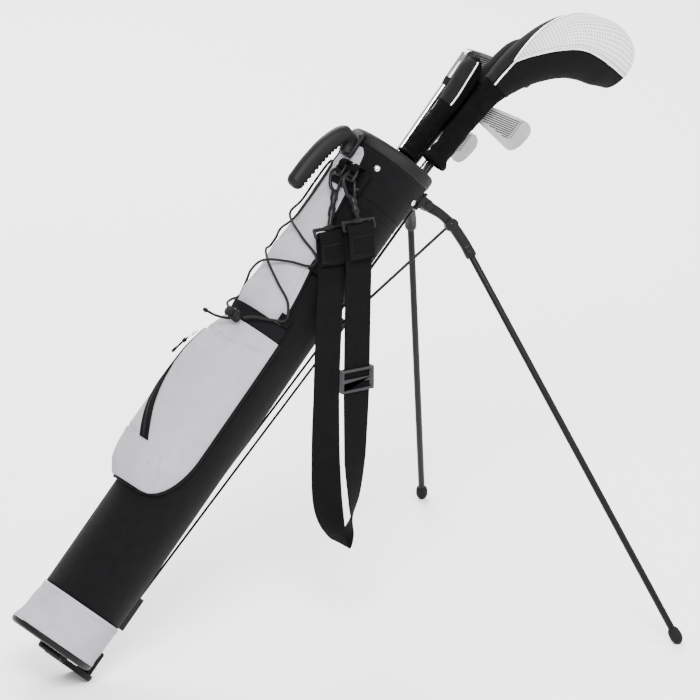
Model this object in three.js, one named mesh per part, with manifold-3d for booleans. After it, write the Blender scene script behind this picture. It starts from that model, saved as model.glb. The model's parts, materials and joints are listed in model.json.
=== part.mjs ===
// Golf club set: a leaning stand bag with its legs out, its shoulder strap and six clubs.
// Millimetres, +Z up. The origin is the middle of the flat sole under the bag's foot.
// Bag frame: x toward the legs, y across (the strap hangs on the -y side), z up the tube.
import * as THREE from 'three';
import { mergeVertices } from 'three/addons/utils/BufferGeometryUtils.js';
import Module from 'manifold-3d';

const wasm = await Module();
wasm.setup();

// ---------------------------------------------------------------- driving dimensions
const TUBE_LENGTH = 830;          // base plate to rim
const LINER_R = 57.2;             // outside of the stiff tube inside the fabric
const FABRIC_R = 60.4;            // outside of the fabric
const BOOT_TOP = 63.7;            // height of the pale band at the foot
const LEAN = THREE.MathUtils.degToRad(41.71);   // tube axis from the vertical
const BASE = new THREE.Vector3(-43.6, 0, 59.4); // middle of the base plate, from the sole

const LEG_SPREAD = THREE.MathUtils.degToRad(27.7); // each leg's plane from the middle plane
const HINGE_R = 78;               // leg hinge from the tube axis
const HINGE_Z = 798;
const LEG_REACH = 645;            // hinge to foot, outward
const LEG_TUBE_R = 4.9;
const BOSS_D = 45;                // hinge to the push rod's pivot on the elbow
const TIP_B = 9;                  // rubber foot: short and long half sizes
const TIP_A = 13;

const BLOCK_X = 88;               // sliding block that pushes both rods
const BLOCK_Z = 588;              // height of its rod pivots
const WIRE_R = 1.75;
const WIRE_SPREAD = 8.3;
const WIRE_FOOT = [68, 112];      // x, z where the wire enters its guide
const ROD_R = 2.1;

const STRAP_WIDTH = 42;
const STRAP_THICK = 2;
const STRAP_PIVOT = [402.5, 672.5];   // world x, z of the rings that the snap hooks hang from

// ---------------------------------------------------------------- materials
const mat = (color, roughness, metalness = 0) =>
  new THREE.MeshStandardMaterial({ color, roughness, metalness });
const blackFabric = () => mat(0x17181a, 0.9);
const greyFabric = () => mat(0xc9c9cf, 0.85);
const blackPlastic = () => mat(0x1a1b1d, 0.55);
const blackPaint = () => mat(0x131416, 0.35, 0.4);
const rubber = () => mat(0x101011, 0.8);
const webbing = () => mat(0x0e0e10, 0.95);
const knit = () => mat(0x0b0b0c, 0.95);
const steel = () => mat(0xc8cacc, 0.25, 1.0);
const gunmetal = () => mat(0x3a3c40, 0.35, 0.9);

// ---------------------------------------------------------------- shape helpers
const V = (x, y, z) => new THREE.Vector3(x, y, z);
const lerp = THREE.MathUtils.lerp;
const bag = new THREE.Group();
bag.rotation.y = LEAN;
bag.position.copy(BASE);
bag.updateMatrixWorld(true);
const group = new THREE.Group();
group.add(bag);
const worldToBag = bag.matrixWorld.clone().invert();
const toBag = (x, y, z) => V(x, y, z).applyMatrix4(worldToBag);

function signedVolume(pos, index) {
  let total = 0;
  const [a, b, c] = [V(), V(), V()];
  for (let i = 0; i < index.length; i += 3) {
    a.fromArray(pos, 3 * index[i]);
    b.fromArray(pos, 3 * index[i + 1]);
    c.fromArray(pos, 3 * index[i + 2]);
    total += a.dot(b.cross(c));
  }
  return total / 6;
}

// Closed surface through rings of points. loop joins the last ring to the first;
// otherwise each end is capped, by a fan or, for a crescent, by a strip.
function loft(rings, { loop = false, strip = false } = {}) {
  const n = rings[0].length;
  const pos = rings.flat().flatMap((p) => [p.x, p.y, p.z]);
  const index = [];
  const count = loop ? rings.length : rings.length - 1;
  for (let i = 0; i < count; i++) {
    const lower = i * n;
    const upper = ((i + 1) % rings.length) * n;
    for (let j = 0; j < n; j++) {
      const k = (j + 1) % n;
      index.push(lower + j, lower + k, upper + k, lower + j, upper + k, upper + j);
    }
  }
  const cap = (base, flip) => {
    const ends = [];
    for (let j = 0; strip && j < n / 2 - 1; j++) {
      ends.push([j, j + 1, n - 2 - j], [j, n - 2 - j, n - 1 - j]);
    }
    for (let j = 1; !strip && j < n - 1; j++) {
      ends.push([0, j, j + 1]);
    }
    for (const [a, b, c] of ends) {
      index.push(base + a, base + (flip ? c : b), base + (flip ? b : c));
    }
  };
  if (!loop) {
    cap(0, true);
    cap((rings.length - 1) * n, false);
  }
  if (signedVolume(pos, index) < 0) {
    for (let i = 0; i < index.length; i += 3) {
      [index[i + 1], index[i + 2]] = [index[i + 2], index[i + 1]];
    }
  }
  const geometry = new THREE.BufferGeometry();
  geometry.setAttribute('position', new THREE.Float32BufferAttribute(pos, 3));
  geometry.setIndex(index);
  geometry.computeVertexNormals();
  return geometry;
}

// Solid of revolution about z from a closed list of [radius, height].
function revolve(profile, segments = 28) {
  const points = [...profile, profile[0]].map(([r, z]) => new THREE.Vector2(r, z));
  const geometry = new THREE.LatheGeometry(points, segments).rotateX(Math.PI / 2);
  return fixed(geometry);
}

// Merges shared points and turns the faces outward.
function fixed(geometry) {
  const bare = geometry.clone();
  bare.deleteAttribute('normal');
  bare.deleteAttribute('uv');
  const merged = mergeVertices(bare, 1e-4);
  const index = [];
  const old = merged.index.array;
  for (let i = 0; i < old.length; i += 3) {
    const [a, b, c] = [old[i], old[i + 1], old[i + 2]];
    if (a !== b && b !== c && a !== c) {
      index.push(a, b, c);
    }
  }
  if (signedVolume(merged.attributes.position.array, index) < 0) {
    index.reverse();
  }
  merged.setIndex(index);
  return merged;
}

const solid = (geometry) => {
  const g = fixed(geometry);
  return new wasm.Manifold(new wasm.Mesh({
    numProp: 3,
    vertProperties: Float32Array.from(g.attributes.position.array),
    triVerts: Uint32Array.from(g.index.array),
  }));
};

function fromSolid(body) {
  const { vertProperties, triVerts } = body.getMesh();
  const geometry = new THREE.BufferGeometry();
  geometry.setAttribute('position', new THREE.BufferAttribute(vertProperties, 3));
  geometry.setIndex(new THREE.BufferAttribute(triVerts, 1));
  geometry.computeVertexNormals();
  return geometry;
}

// Joins the first list of geometries and takes the second list away.
function carve(add, take = []) {
  let body = solid(add[0]);
  for (const piece of add.slice(1)) {
    body = body.add(solid(piece));
  }
  for (const piece of take) {
    body = body.subtract(solid(piece));
  }
  return fromSolid(body);
}

// Box between two corners.
function box(x0, x1, y0, y1, z0, z1) {
  const geometry = new THREE.BoxGeometry(x1 - x0, y1 - y0, z1 - z0);
  return geometry.translate((x0 + x1) / 2, (y0 + y1) / 2, (z0 + z1) / 2);
}

// Cylinder or cone from a to b.
function rod(a, b, r0, r1 = r0, sides = 16) {
  const along = b.clone().sub(a);
  const geometry = new THREE.CylinderGeometry(r1, r0, along.length(), sides);
  const turn = new THREE.Quaternion().setFromUnitVectors(V(0, 1, 0), along.clone().normalize());
  return geometry.applyQuaternion(turn).translate(...a.clone().add(b).multiplyScalar(0.5));
}

// Rings of a section carried along points; side gives the section's first direction.
function sweepRings(points, section, side) {
  return points.map((p, i) => {
    const before = points[Math.max(i - 1, 0)];
    const after = points[Math.min(i + 1, points.length - 1)];
    const t = after.clone().sub(before).normalize();
    const wanted = typeof side === 'function' ? side(i) : side;
    const u = wanted.clone().addScaledVector(t, -wanted.dot(t)).normalize();
    const v = t.clone().cross(u);
    return section(i).map(([a, b]) => p.clone().addScaledVector(u, a).addScaledVector(v, b));
  });
}

const circle = (n, a, b = a) => Array.from({ length: n }, (_, j) => {
  const t = (2 * Math.PI * (j + 0.5)) / n;
  return [a * Math.cos(t), b * Math.sin(t)];
});

// Round wire along a smooth curve through the points.
function wire(points, r, steps, side, sides = 8) {
  const curve = new THREE.CatmullRomCurve3(points, false, 'centripetal');
  return loft(sweepRings(curve.getPoints(steps), () => circle(sides, r), side));
}

// Thin solid over a patch of the tube: around from angle a0(z) to a1(z), between two radii.
// Angles are from the handle side (-x) toward -y.
const onTube = (angle, r, z) => {
  const t = THREE.MathUtils.degToRad(angle);
  return V(-r * Math.cos(t), -r * Math.sin(t), z);
};

function patch({ z0, z1, rows, cols, edge, outer, inner }) {
  const rings = [];
  for (let i = 0; i <= rows; i++) {
    const v = i / rows;
    const z = lerp(z0, z1, v);
    const [a0, a1] = edge(v);
    const over = [];
    const under = [];
    for (let j = 0; j <= cols; j++) {
      const u = j / cols;
      const angle = lerp(a0, a1, u);
      over.push(onTube(angle, outer(u, v), z));
      under.push(onTube(angle, inner, z));
    }
    rings.push([...over, ...under.reverse()]);
  }
  return loft(rings, { strip: true });
}

function add(name, geometry, material, parent = bag) {
  const mesh = new THREE.Mesh(geometry, material);
  mesh.name = name;
  parent.add(mesh);
  return mesh;
}

// ---------------------------------------------------------------- tube and base
// Outline of the base, which flares toward the handle side.
const baseOutline = (grow, n = 28) => circle(n, 66.5 + grow, 63 + grow)
  .map(([a, b]) => [a - 6.5, b]);
const roundOutline = (r, n = 28) => circle(n, r);
const ringAt = (outline, z) => outline.map(([a, b]) => V(a, b, z));

function boot() {
  const blend = (grow, r, k) => {
    const wide = baseOutline(grow);
    return roundOutline(r).map(([a, b], j) => [lerp(a, wide[j][0], k), lerp(b, wide[j][1], k)]);
  };
  const heights = [0.6, 24, BOOT_TOP];
  const flare = [1, 0.4, 0];
  const outside = heights.map((z, i) => ringAt(blend(0, 61.4, flare[i]), z));
  const inside = heights.map((z, i) => ringAt(blend(-2.4, 59.2, flare[i]), z));
  return loft([...outside, ...inside.reverse()], { loop: true });
}

function baseCap() {
  const plug = roundOutline(54.9);
  const cup = loft([
    ringAt(baseOutline(-7), -9),
    ringAt(baseOutline(-2), -7.5),
    ringAt(baseOutline(0), -4),
    ringAt(baseOutline(0), 0.2),
    ringAt(plug, 0.2),
    ringAt(plug, 5),
  ]);
  const lugs = [-1, 1].flatMap((s) => [
    rod(V(4, s * 26, -13.4), V(4, s * 34, -13.4), 4.2),
    box(0, 8, Math.min(s * 26, s * 34), Math.max(s * 26, s * 34), -13.4, -8),
  ]);
  return carve([cup, ...lugs]);
}

function footLever() {
  const toe = new THREE.Shape();
  toe.moveTo(9, -25);
  toe.lineTo(50, -30);
  toe.quadraticCurveTo(77, -26, 77, 0);
  toe.quadraticCurveTo(77, 26, 50, 30);
  toe.lineTo(9, 25);
  const pad = new THREE.ExtrudeGeometry(toe, { depth: 8.6, bevelEnabled: false, curveSegments: 8 })
    .translate(0, 0, -18.7);
  const barrel = rod(V(4, -25.5, -13.4), V(4, 25.5, -13.4), 4.2);
  const web = box(4, 10, -25, 25, -16, -11);
  const arm = box(63, 70, -15, 15, -14, 22);
  const armTop = rod(V(66.5, -15, 22), V(66.5, 15, 22), 3.5);
  const ground = box(-300, 300, -200, 200, -100, 0).applyMatrix4(worldToBag);
  return carve([pad, barrel, web, arm, armTop], [ground]);
}

function collar() {
  return revolve([
    [62.6, 776], [64.4, 777.5], [64.4, 811], [66, 814], [66, 827], [64, 830], [57.5, 830],
    [55.6, 828], [55.6, 813], [58.0, 813], [58.0, 788.4], [62.6, 788.4],
  ], 28);
}

add('liner_tube', revolve([[55.5, 0.6], [LINER_R, 0.6], [LINER_R, 812.4], [55.5, 812.4]]),
  mat(0x232427, 0.7));
add('sleeve_fabric', revolve([
  [58.2, 64.3], [FABRIC_R, 64.3], [FABRIC_R, 600], [61.6, 770], [61.6, 787.6], [58.2, 787.6],
]), blackFabric());
add('boot_band', boot(), greyFabric());
add('base_cap', baseCap(), blackPlastic());
add('foot_lever', footLever(), rubber());
add('collar', collar(), blackPlastic());

// ---------------------------------------------------------------- carry handle
function carryHandle() {
  const line = new THREE.CatmullRomCurve3([
    V(-72, 0, 790), V(-77, 0, 806), V(-90, 0, 806), V(-102, 0, 782), V(-108, 0, 750), V(-111, 0, 714),
    V(-112, 0, 704),
  ]);
  const steps = 13;
  const half = [8, 10, 12.5, 14, 15, 15, 14, 8];
  const section = (i) => {
    const f = (i / steps) * (half.length - 1);
    const k = Math.min(Math.floor(f), half.length - 2);
    const a = lerp(half[k], half[k + 1], f - k);
    return circle(12, a, Math.min(a, 13) * 0.98);
  };
  const arm = loft(sweepRings(line.getPoints(steps), section, V(1, 0, 0.3)));
  const plate = box(-73, -66.4, -15, 15, 784, 824);
  return carve([arm, plate]);
}
add('carry_handle', carryHandle(), blackPlastic());

// ---------------------------------------------------------------- legs
// In a leg's frame x is outward, z up the tube and y across the leg; inner is the side
// that faces the other leg.
const footFall = (BASE.z + Math.cos(LEAN) * HINGE_Z - Math.sin(LEAN)
  * (HINGE_R + LEG_REACH) * Math.cos(LEG_SPREAD) - 11.4) / Math.cos(LEAN);
const FOOT = [LEG_REACH, -footFall];
const SOCKET = [84, -16.5];
const reach = Math.hypot(FOOT[0] - SOCKET[0], FOOT[1] - SOCKET[1]);
const LEG_DIR = [(FOOT[0] - SOCKET[0]) / reach, (FOOT[1] - SOCKET[1]) / reach];
const onLeg = (d) => V(SOCKET[0] + LEG_DIR[0] * d, 0, SOCKET[1] + LEG_DIR[1] * d);

function legGroup(side) {
  const frame = new THREE.Group();
  frame.rotation.z = -side * LEG_SPREAD;
  frame.position.set(
    HINGE_R * Math.cos(LEG_SPREAD), -side * HINGE_R * Math.sin(LEG_SPREAD), HINGE_Z,
  );
  bag.add(frame);
  return frame;
}

function hingeBracket() {
  const plate = box(-12.3, -8.4, -14, 14, -15, 12.4);
  const cheeks = [-1, 1].map((s) => carve([
    box(-9, 1, s > 0 ? 9 : -13, s > 0 ? 13 : -9, -8, 8),
    rod(V(1, s * 9, 0), V(1, s * 13, 0), 8, 8, 12),
  ]));
  const pin = rod(V(0, -13.8, 0), V(0, 13.8, 0), 2.4, 2.4, 8);
  return carve([plate, ...cheeks, pin]);
}

function elbow() {
  const line = new THREE.CatmullRomCurve3([
    V(2, 0, 0), V(24, 0, 1.5), V(45, 0, -1.5), V(64, 0, -8), onLeg(-6), onLeg(0), onLeg(6),
  ]);
  const section = () => circle(8, 8.3, 7.8);
  const arm = loft(sweepRings(line.getPoints(7), section, V(0, 1, 0)));
  const eye = rod(V(0, -8, 0), V(0, 8, 0), 7.8, 7.8, 12);
  const boss = rod(V(BOSS_D, -8.6, -2), V(BOSS_D, 8.6, -2), 9.2, 9.2, 12);
  const bore = rod(V(0, -20, 0), V(0, 20, 0), 3.1, 3.1, 8);
  const socket = rod(onLeg(-19), onLeg(12), LEG_TUBE_R + 0.5, LEG_TUBE_R + 0.5, 12);
  return carve([arm, eye, boss], [bore, socket]);
}

function footTip(frame) {
  const line = onLeg(1).sub(onLeg(0));
  const turn = new THREE.Quaternion().setFromUnitVectors(V(0, 0, 1), line);
  const ball = new THREE.SphereGeometry(1, 12, 6).rotateX(Math.PI / 2)
    .scale(TIP_B, TIP_B, TIP_A).applyQuaternion(turn)
    .translate(...onLeg(reach));
  const bore = rod(onLeg(reach - 30), onLeg(reach - 1), LEG_TUBE_R + 0.5, LEG_TUBE_R + 0.5, 12);
  frame.updateMatrixWorld(true);
  const ground = box(-3000, 3000, -3000, 3000, -100, 0)
    .applyMatrix4(frame.matrixWorld.clone().invert());
  return carve([ball], [bore, ground]);
}

for (const [label, side] of [['near', 1], ['far', -1]]) {
  const frame = legGroup(side);
  bag.updateMatrixWorld(true);
  add(`hinge_bracket_${label}`, hingeBracket(), blackPlastic(), frame);
  add(`leg_elbow_${label}`, elbow(), blackPlastic(), frame);
  add(`leg_tube_${label}`, rod(onLeg(-18.5), onLeg(reach - 1.5), LEG_TUBE_R, LEG_TUBE_R, 12),
    blackPaint(), frame);
  add(`foot_tip_${label}`, footTip(frame), rubber(), frame);
}

// ---------------------------------------------------------------- push linkage
const [wx, wz] = WIRE_FOOT;
const wireX = (z) => lerp(wx, BLOCK_X + 1, (z - wz) / (560 - wz));

function slideBlock() {
  const x = BLOCK_X;
  const upper = box(x - 7, x + 8, -5.8, 5.8, 570, 598);
  const lower = box(x - 5.5, x + 7, -5, 5, 544, 572);
  const roof = rod(V(x - 7, 0, 598), V(x + 8, 0, 598), 5.8, 5.8, 16);
  const pins = [-1, 1].map((s) => {
    const out = V(-Math.sin(LEG_SPREAD) * 1, s * Math.cos(LEG_SPREAD), 0);
    const centre = V(x, 0, BLOCK_Z);
    return rod(centre, centre.clone().addScaledVector(out, 14), 1.9, 1.9, 10);
  });
  const cross = rod(V(wireX(560), -20, 560), V(wireX(560), 20, 560), WIRE_R + 0.6, WIRE_R + 0.6, 12);
  return carve([upper, lower, roof, ...pins], [cross]);
}

function pushWire() {
  const y = WIRE_SPREAD;
  const half = [V(wx, -y, wz), V(wireX(200), -y, 200), V(wireX(400), -y, 400),
    V(wireX(552), -y, 552), V(wireX(558), -y + 1.2, 558.8), V(wireX(560), -y + 3, 560)];
  const other = half.map((p) => V(p.x, -p.y, p.z)).reverse();
  return loft(sweepRings([...half, ...other], () => circle(8, WIRE_R), V(1, 0, 0)));
}

function wireGuide() {
  const shell = box(61.2, 73.5, -14, 14, 66, 118);
  const slot = box(64.2, 72, -11.6, 11.6, 68, 130);
  return carve([shell], [slot]);
}

// Rod from the block's pin to beside the elbow's boss, with a flat eye at each end.
function pushRod(side) {
  const out = V(-Math.sin(LEG_SPREAD), -side * Math.cos(LEG_SPREAD), 0);
  const outward = V(Math.cos(LEG_SPREAD), -side * Math.sin(LEG_SPREAD), 0);
  const low = V(BLOCK_X, 0, BLOCK_Z).addScaledVector(out, 10.8);
  const high = outward.clone().multiplyScalar(HINGE_R + BOSS_D).addScaledVector(out, -11.6);
  high.z = HINGE_Z - 2;
  const along = high.clone().sub(low).normalize();
  const eye = (p, r) => rod(p.clone().addScaledVector(out, -1.7), p.clone().addScaledVector(out, 1.7), r, r, 10);
  const bar = rod(low.clone().addScaledVector(along, 3), high.clone().addScaledVector(along, -2),
    ROD_R, ROD_R, 8);
  const hole = rod(low.clone().addScaledVector(out, -6), low.clone().addScaledVector(out, 6), 2.4, 2.4, 8);
  return carve([bar, eye(low, 5), eye(high, 4.6)], [hole]);
}

add('slide_block', slideBlock(), blackPlastic());
add('push_wire', pushWire(), blackPaint());
add('wire_guide', wireGuide(), blackPlastic());
add('push_rod_near', pushRod(1), blackPaint());
add('push_rod_far', pushRod(-1), blackPaint());

// ---------------------------------------------------------------- pocket and panel
const POCKET = { z0: 238, z1: 512 };
const pocketEdge = (v) => {
  const open = Math.sqrt(1 - (1 - Math.min(v / 0.3, 1)) ** 2);
  return [-lerp(36, 72, open), lerp(36, 72, open)];
};
// How full the pocket is from its bottom (0) to its top (1).
const FULLNESS = [
  [0, 0.25], [0.04, 0.68], [0.1, 0.92], [0.2, 1], [0.38, 1], [0.6, 0.92], [0.74, 0.84],
  [0.88, 0.52], [0.96, 0.2], [1, 0.05],
];
const between = (table, x) => {
  const k = Math.max(1, table.findIndex(([at]) => at >= x));
  const [[x0, y0], [x1, y1]] = [table[k - 1], table[k]];
  return lerp(y0, y1, (x - x0) / (x1 - x0));
};
const pocketBulge = (u, v) => {
  const across = Math.max(Math.sin(Math.PI * u), 0) ** 0.55;
  return 65 + 28.5 * across * between(FULLNESS, Math.min(v, 1));
};
add('ball_pocket', patch({
  ...POCKET, rows: 10, cols: 12, edge: pocketEdge, outer: pocketBulge, inner: 62.9,
}), greyFabric());

add('upper_panel', patch({
  z0: 533, z1: 774, rows: 6, cols: 10,
  edge: (v) => [-lerp(62, 30, v), lerp(62, 30, v)],
  outer: (u, v) => 64.2 + 2.6 * Math.sin(Math.PI * u) * Math.sin(Math.PI * Math.min(v + 0.15, 1)),
  inner: 62.1,
}), greyFabric());

add('elastic_band', patch({
  z0: 513.5, z1: 531, rows: 3, cols: 14,
  edge: () => [-72, 72],
  outer: (u, v) => 64.6 + 5 * Math.sin(Math.PI * u) * v,
  inner: 62.1,
}), webbing());

// Curved zip over the pocket, from its outer side down to its low near corner.
const zipAngle = (v) => lerp(14, -36, Math.sin((Math.PI / 2) * Math.min(v, 1)));
const pocketRadius = (angle, z) => {
  const v = (z - POCKET.z0) / (POCKET.z1 - POCKET.z0);
  const [a0, a1] = pocketEdge(v);
  return pocketBulge((angle - a0) / (a1 - a0), v);
};

function zipTape() {
  const rings = [];
  const steps = 14;
  for (let i = 0; i <= steps; i++) {
    const v = i / steps;
    const z = lerp(300, 478, v);
    const angle = zipAngle(v);
    const span = 5.5;
    const over = [];
    const under = [];
    for (let j = 0; j <= 4; j++) {
      const at = angle + lerp(-span, span, j / 4);
      const r = pocketRadius(at, z) + 1.0;
      over.push(onTube(at, r + 1.5, z));
      under.push(onTube(at, r, z));
    }
    rings.push([...over, ...under.reverse()]);
  }
  return loft(rings, { strip: true });
}
add('zip_tape', zipTape(), webbing());

// Zip slider, parked at the top of its track.
const zipTop = (() => {
  const at = zipAngle(0.93);
  const z = lerp(300, 478, 0.93);
  return { at, z, r: pocketRadius(at, z - 6) + 4.6 };
})();
add('zip_slider', patch({
  z0: zipTop.z - 6, z1: zipTop.z + 6, rows: 1, cols: 2,
  edge: () => [zipTop.at - 2.6, zipTop.at + 2.6],
  outer: () => zipTop.r + 4,
  inner: zipTop.r,
}), steel());

// ---------------------------------------------------------------- lacing
const TABS = [['low', 544, 60], ['high', 630, 55]];
for (const [label, z, angle] of TABS) {
  for (const [side, s] of [['near', 1], ['far', -1]]) {
    add(`lace_tab_${label}_${side}`, patch({
      z0: z - 8, z1: z + 8, rows: 1, cols: 3,
      edge: () => (s > 0 ? [angle - 7, angle + 7] : [-angle - 7, -angle + 7]),
      outer: () => 70.2,
      inner: 67.2,
    }), webbing());
  }
}

// Elastic cord, one end at the cord lock, crossing twice over the panel.
const LACE = [
  [20.6, 515, 77], [30, 524, 75.5], [47, 534, 73.2], [60, 545, 72.6], [52, 566, 72.6], [30, 582, 73],
  [2, 600, 73], [-26, 616, 72.8], [-50, 628, 72.6], [-50, 640, 72.6], [-26, 652, 72.6],
  [-8, 672, 72.6], [-6, 700, 72], [-7, 740, 71.4], [-10, 764, 71], [-16, 770, 71], [-22, 764, 71],
  [-24, 735, 71.4], [-22, 700, 72], [-16, 676, 77.5], [20, 655, 73], [50, 640, 72.6],
  [50, 628, 72.6], [26, 616, 72.8], [-2, 600, 77.8], [-30, 582, 73], [-52, 566, 72.6],
  [-60, 545, 72.6], [-47, 534, 73.2], [-20, 522, 75.5], [3.4, 515, 77],
];
add('bungee_cord', wire(LACE.map(([a, z, r]) => onTube(a, r, z)), 1.9, 52, V(0, 0, 1)), rubber());

const lockAt = onTube(12, 78, 512);
function cordLock() {
  const shell = rod(lockAt.clone().add(V(-9, 0, 0)), lockAt.clone().add(V(5, 0, 0)), 8.2, 8.2, 16);
  const well = rod(lockAt.clone().add(V(-12, 0, 0)), lockAt.clone().add(V(1, 0, 0)), 6.2, 6.2, 16);
  return carve([shell], [well]);
}
function cordButton() {
  const stem = rod(lockAt.clone().add(V(-15, 0, 0)), lockAt.clone().add(V(-3.5, 0, 0)), 5.6, 5.6, 14);
  const head = rod(lockAt.clone().add(V(-17, 0, 0)), lockAt.clone().add(V(-14, 0, 0)), 7.6, 7.6, 16);
  return carve([stem, head]);
}
add('cord_lock', cordLock(), blackPlastic());
add('cord_lock_button', cordButton(), blackPlastic());

// ---------------------------------------------------------------- strap, rings, hooks
const [px, pz] = STRAP_PIVOT;
const ringY = [-50, -18];

// Webbing tab with a loop round the back of each ring.
function strapTab() {
  const sheet = patch({
    z0: 763, z1: 773.5, rows: 1, cols: 6, edge: () => [4, 50], outer: () => 70, inner: 67.6,
  });
  const loops = ringY.map((y) => {
    const back = toBag(px + 17.5 * Math.sin(LEAN), y, pz + 17.5 * Math.cos(LEAN));
    const out = V(back.x, back.y, 0).normalize();
    return [
      rod(back.clone().addScaledVector(out, 69 - Math.hypot(back.x, back.y)),
        back.clone().addScaledVector(out, 4.2), 3.6, 3.6, 12),
      rod(back.clone().add(V(0, -12, 0)), back.clone().add(V(0, 12, 0)), 2.3, 2.3, 10),
    ];
  });
  return carve([sheet, ...loops.map(([post]) => post)], loops.map(([, hole]) => hole));
}
add('strap_tab', strapTab(), webbing());

// D-ring whose straight bar lies along the strap's swing axis.
function ring(y) {
  const at = (d, w) => V(px + d * Math.sin(LEAN), y + w, pz + d * Math.cos(LEAN));
  const line = [at(0, 0), at(0, 9), at(7, 9), at(13.5, 7.5), at(17.5, 5.6), at(17.5, 0),
    at(17.5, -5.6), at(13.5, -7.5), at(7, -9), at(0, -9)];
  const n = V(Math.cos(LEAN), 0, -Math.sin(LEAN));
  return loft(line.map((p, i) => {
    const before = line[(i + line.length - 1) % line.length];
    const t = line[(i + 1) % line.length].clone().sub(before).normalize();
    const u = t.clone().cross(n).normalize();
    return circle(8, 1.8).map(([a, b]) => p.clone().addScaledVector(u, a).addScaledVector(n, b));
  }), { loop: true });
}
add('strap_ring_near', ring(ringY[0]), gunmetal(), group);
add('strap_ring_far', ring(ringY[1]), gunmetal(), group);

// Snap hook from its ring to its strap bar, which lies along x.
function snapHook(top, bar) {
  const down = bar.clone().sub(top).normalize();
  const side = V(1, 0, 0).addScaledVector(down, -down.x).normalize();
  const at = (a, d) => top.clone().addScaledVector(side, a).addScaledVector(down, d);
  const across = (p, a) => p.clone().add(V(a, 0, 0));
  const length = bar.distanceTo(top);
  const shoulderAt = at(0, length - 11.5).setX(bar.x);
  const eye = [at(0, 28), at(-7.6, 20), at(-8.6, 8), at(-6.8, -2.5), at(0, -7.4), at(6.8, -2.5), at(8.6, 8)];
  const hook = wire(eye, 2.2, 12, down.clone().cross(side), 6);
  const body = rod(at(0, 25), shoulderAt, 4, 4, 8);
  const shoulder = rod(across(shoulderAt, -26), across(shoulderAt, 26), 2.6, 2.6, 8);
  const ends = [-24.6, 24.6].map((a) => rod(across(shoulderAt, a), across(bar, a), 2.3, 2.3, 8));
  const low = rod(across(bar, -26), across(bar, 26), 1.8, 1.8, 8);
  return carve([hook, body, shoulder, ...ends, low]);
}
const BAR_NEAR = V(404, -76, 608);
const BAR_FAR = V(368, -60, 600);
add('snap_hook_near', snapHook(V(px, ringY[0], pz), BAR_NEAR), gunmetal(), group);
add('snap_hook_far', snapHook(V(px, ringY[1], pz), BAR_FAR), gunmetal(), group);

// Flat webbing: down one side, twisted a quarter turn round the low loop, and up the other.
function strapWeb() {
  const y = -76;
  const line = [
    V(404, -84.5, 566), V(404, -81.4, 606), V(404, -76, 613.6), V(404, -70.6, 606), V(404, -72.5, 588),
    V(403, -75.5, 560), V(401, y, 470), V(399.4, y, 372), V(397, y, 270), V(395, y, 205),
    V(388, y, 164), V(376, y, 146), V(364, y, 164), V(353, y, 205), V(349, y, 270), V(350, y, 372),
    V(354, y, 470), V(362, -69, 540), V(367, -57.5, 580), V(368, -54.6, 598), V(368, -60, 605.6),
    V(368, -65.4, 598), V(366, -71, 560),
  ];
  const turn = [0, 0, 0, 0, 0, 0, 0, 0, 14, 40, 72, 90, 108, 140, 166, 180, 180, 180, 180, 180, 180,
    180, 180];
  const curve = new THREE.CatmullRomCurve3(line, false, 'centripetal');
  const steps = 66;
  const points = curve.getPoints(steps);
  const side = (i) => {
    const f = (i / steps) * (turn.length - 1);
    const k = Math.min(Math.floor(f), turn.length - 2);
    const t = THREE.MathUtils.degToRad(lerp(turn[k], turn[k + 1], f - k));
    return V(Math.cos(t), Math.sin(t), 0);
  };
  const w = STRAP_WIDTH / 2;
  const h = STRAP_THICK / 2;
  return loft(sweepRings(points, () => [[-w, -h], [w, -h], [w, h], [-w, h]], side));
}
add('strap_web', strapWeb(), webbing(), group);

// Tri-glide on the strap's near leg.
function buckle() {
  const [x, y, z] = [399.6, -76, 388];
  const frame = carve(
    [box(x - 26.5, x + 26.5, y - 4.4, y + 4.4, z - 17, z + 17)],
    [box(x - 22.3, x + 22.3, y - 8, y + 8, z - 13, z + 13),
      box(x - 22.3, x + 22.3, y - 1.7, y + 1.7, z - 30, z + 30)],
  );
  const bar = box(x - 24, x + 24, y - 4.4, y - 1.8, z - 3, z + 3);
  return carve([frame, bar]);
}
add('strap_buckle', buckle(), mat(0x2b2c2f, 0.5), group);

// ---------------------------------------------------------------- clubs
// Each club stands on its grip; foot and rim give its shaft at two heights in the bag frame.
const lineAt = (foot, rim, z) => foot.clone().lerp(rim, (z - foot.z) / (rim.z - foot.z));

function shaftAndGrip(name, foot, rim, top, shaftMaterial) {
  const at = (z) => lineAt(foot, rim, z);
  const axis = rim.clone().sub(foot).normalize();
  const x = V(1, 0, 0).addScaledVector(axis, -axis.x).normalize();
  const y = axis.clone().cross(x);
  const ringOf = (z, r) => circle(14, r)
    .map(([a, b]) => at(z).addScaledVector(x, a).addScaledVector(y, b));
  add(`${name}_grip`, loft([
    ringOf(7, 9.5), ringOf(9.5, 12.2), ringOf(262, 8.6), ringOf(262, 7.1), ringOf(14, 7.1),
  ]), rubber());
  add(`${name}_shaft`, rod(at(16), at(top), 6.4, 4.4, 12), shaftMaterial);
}

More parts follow.
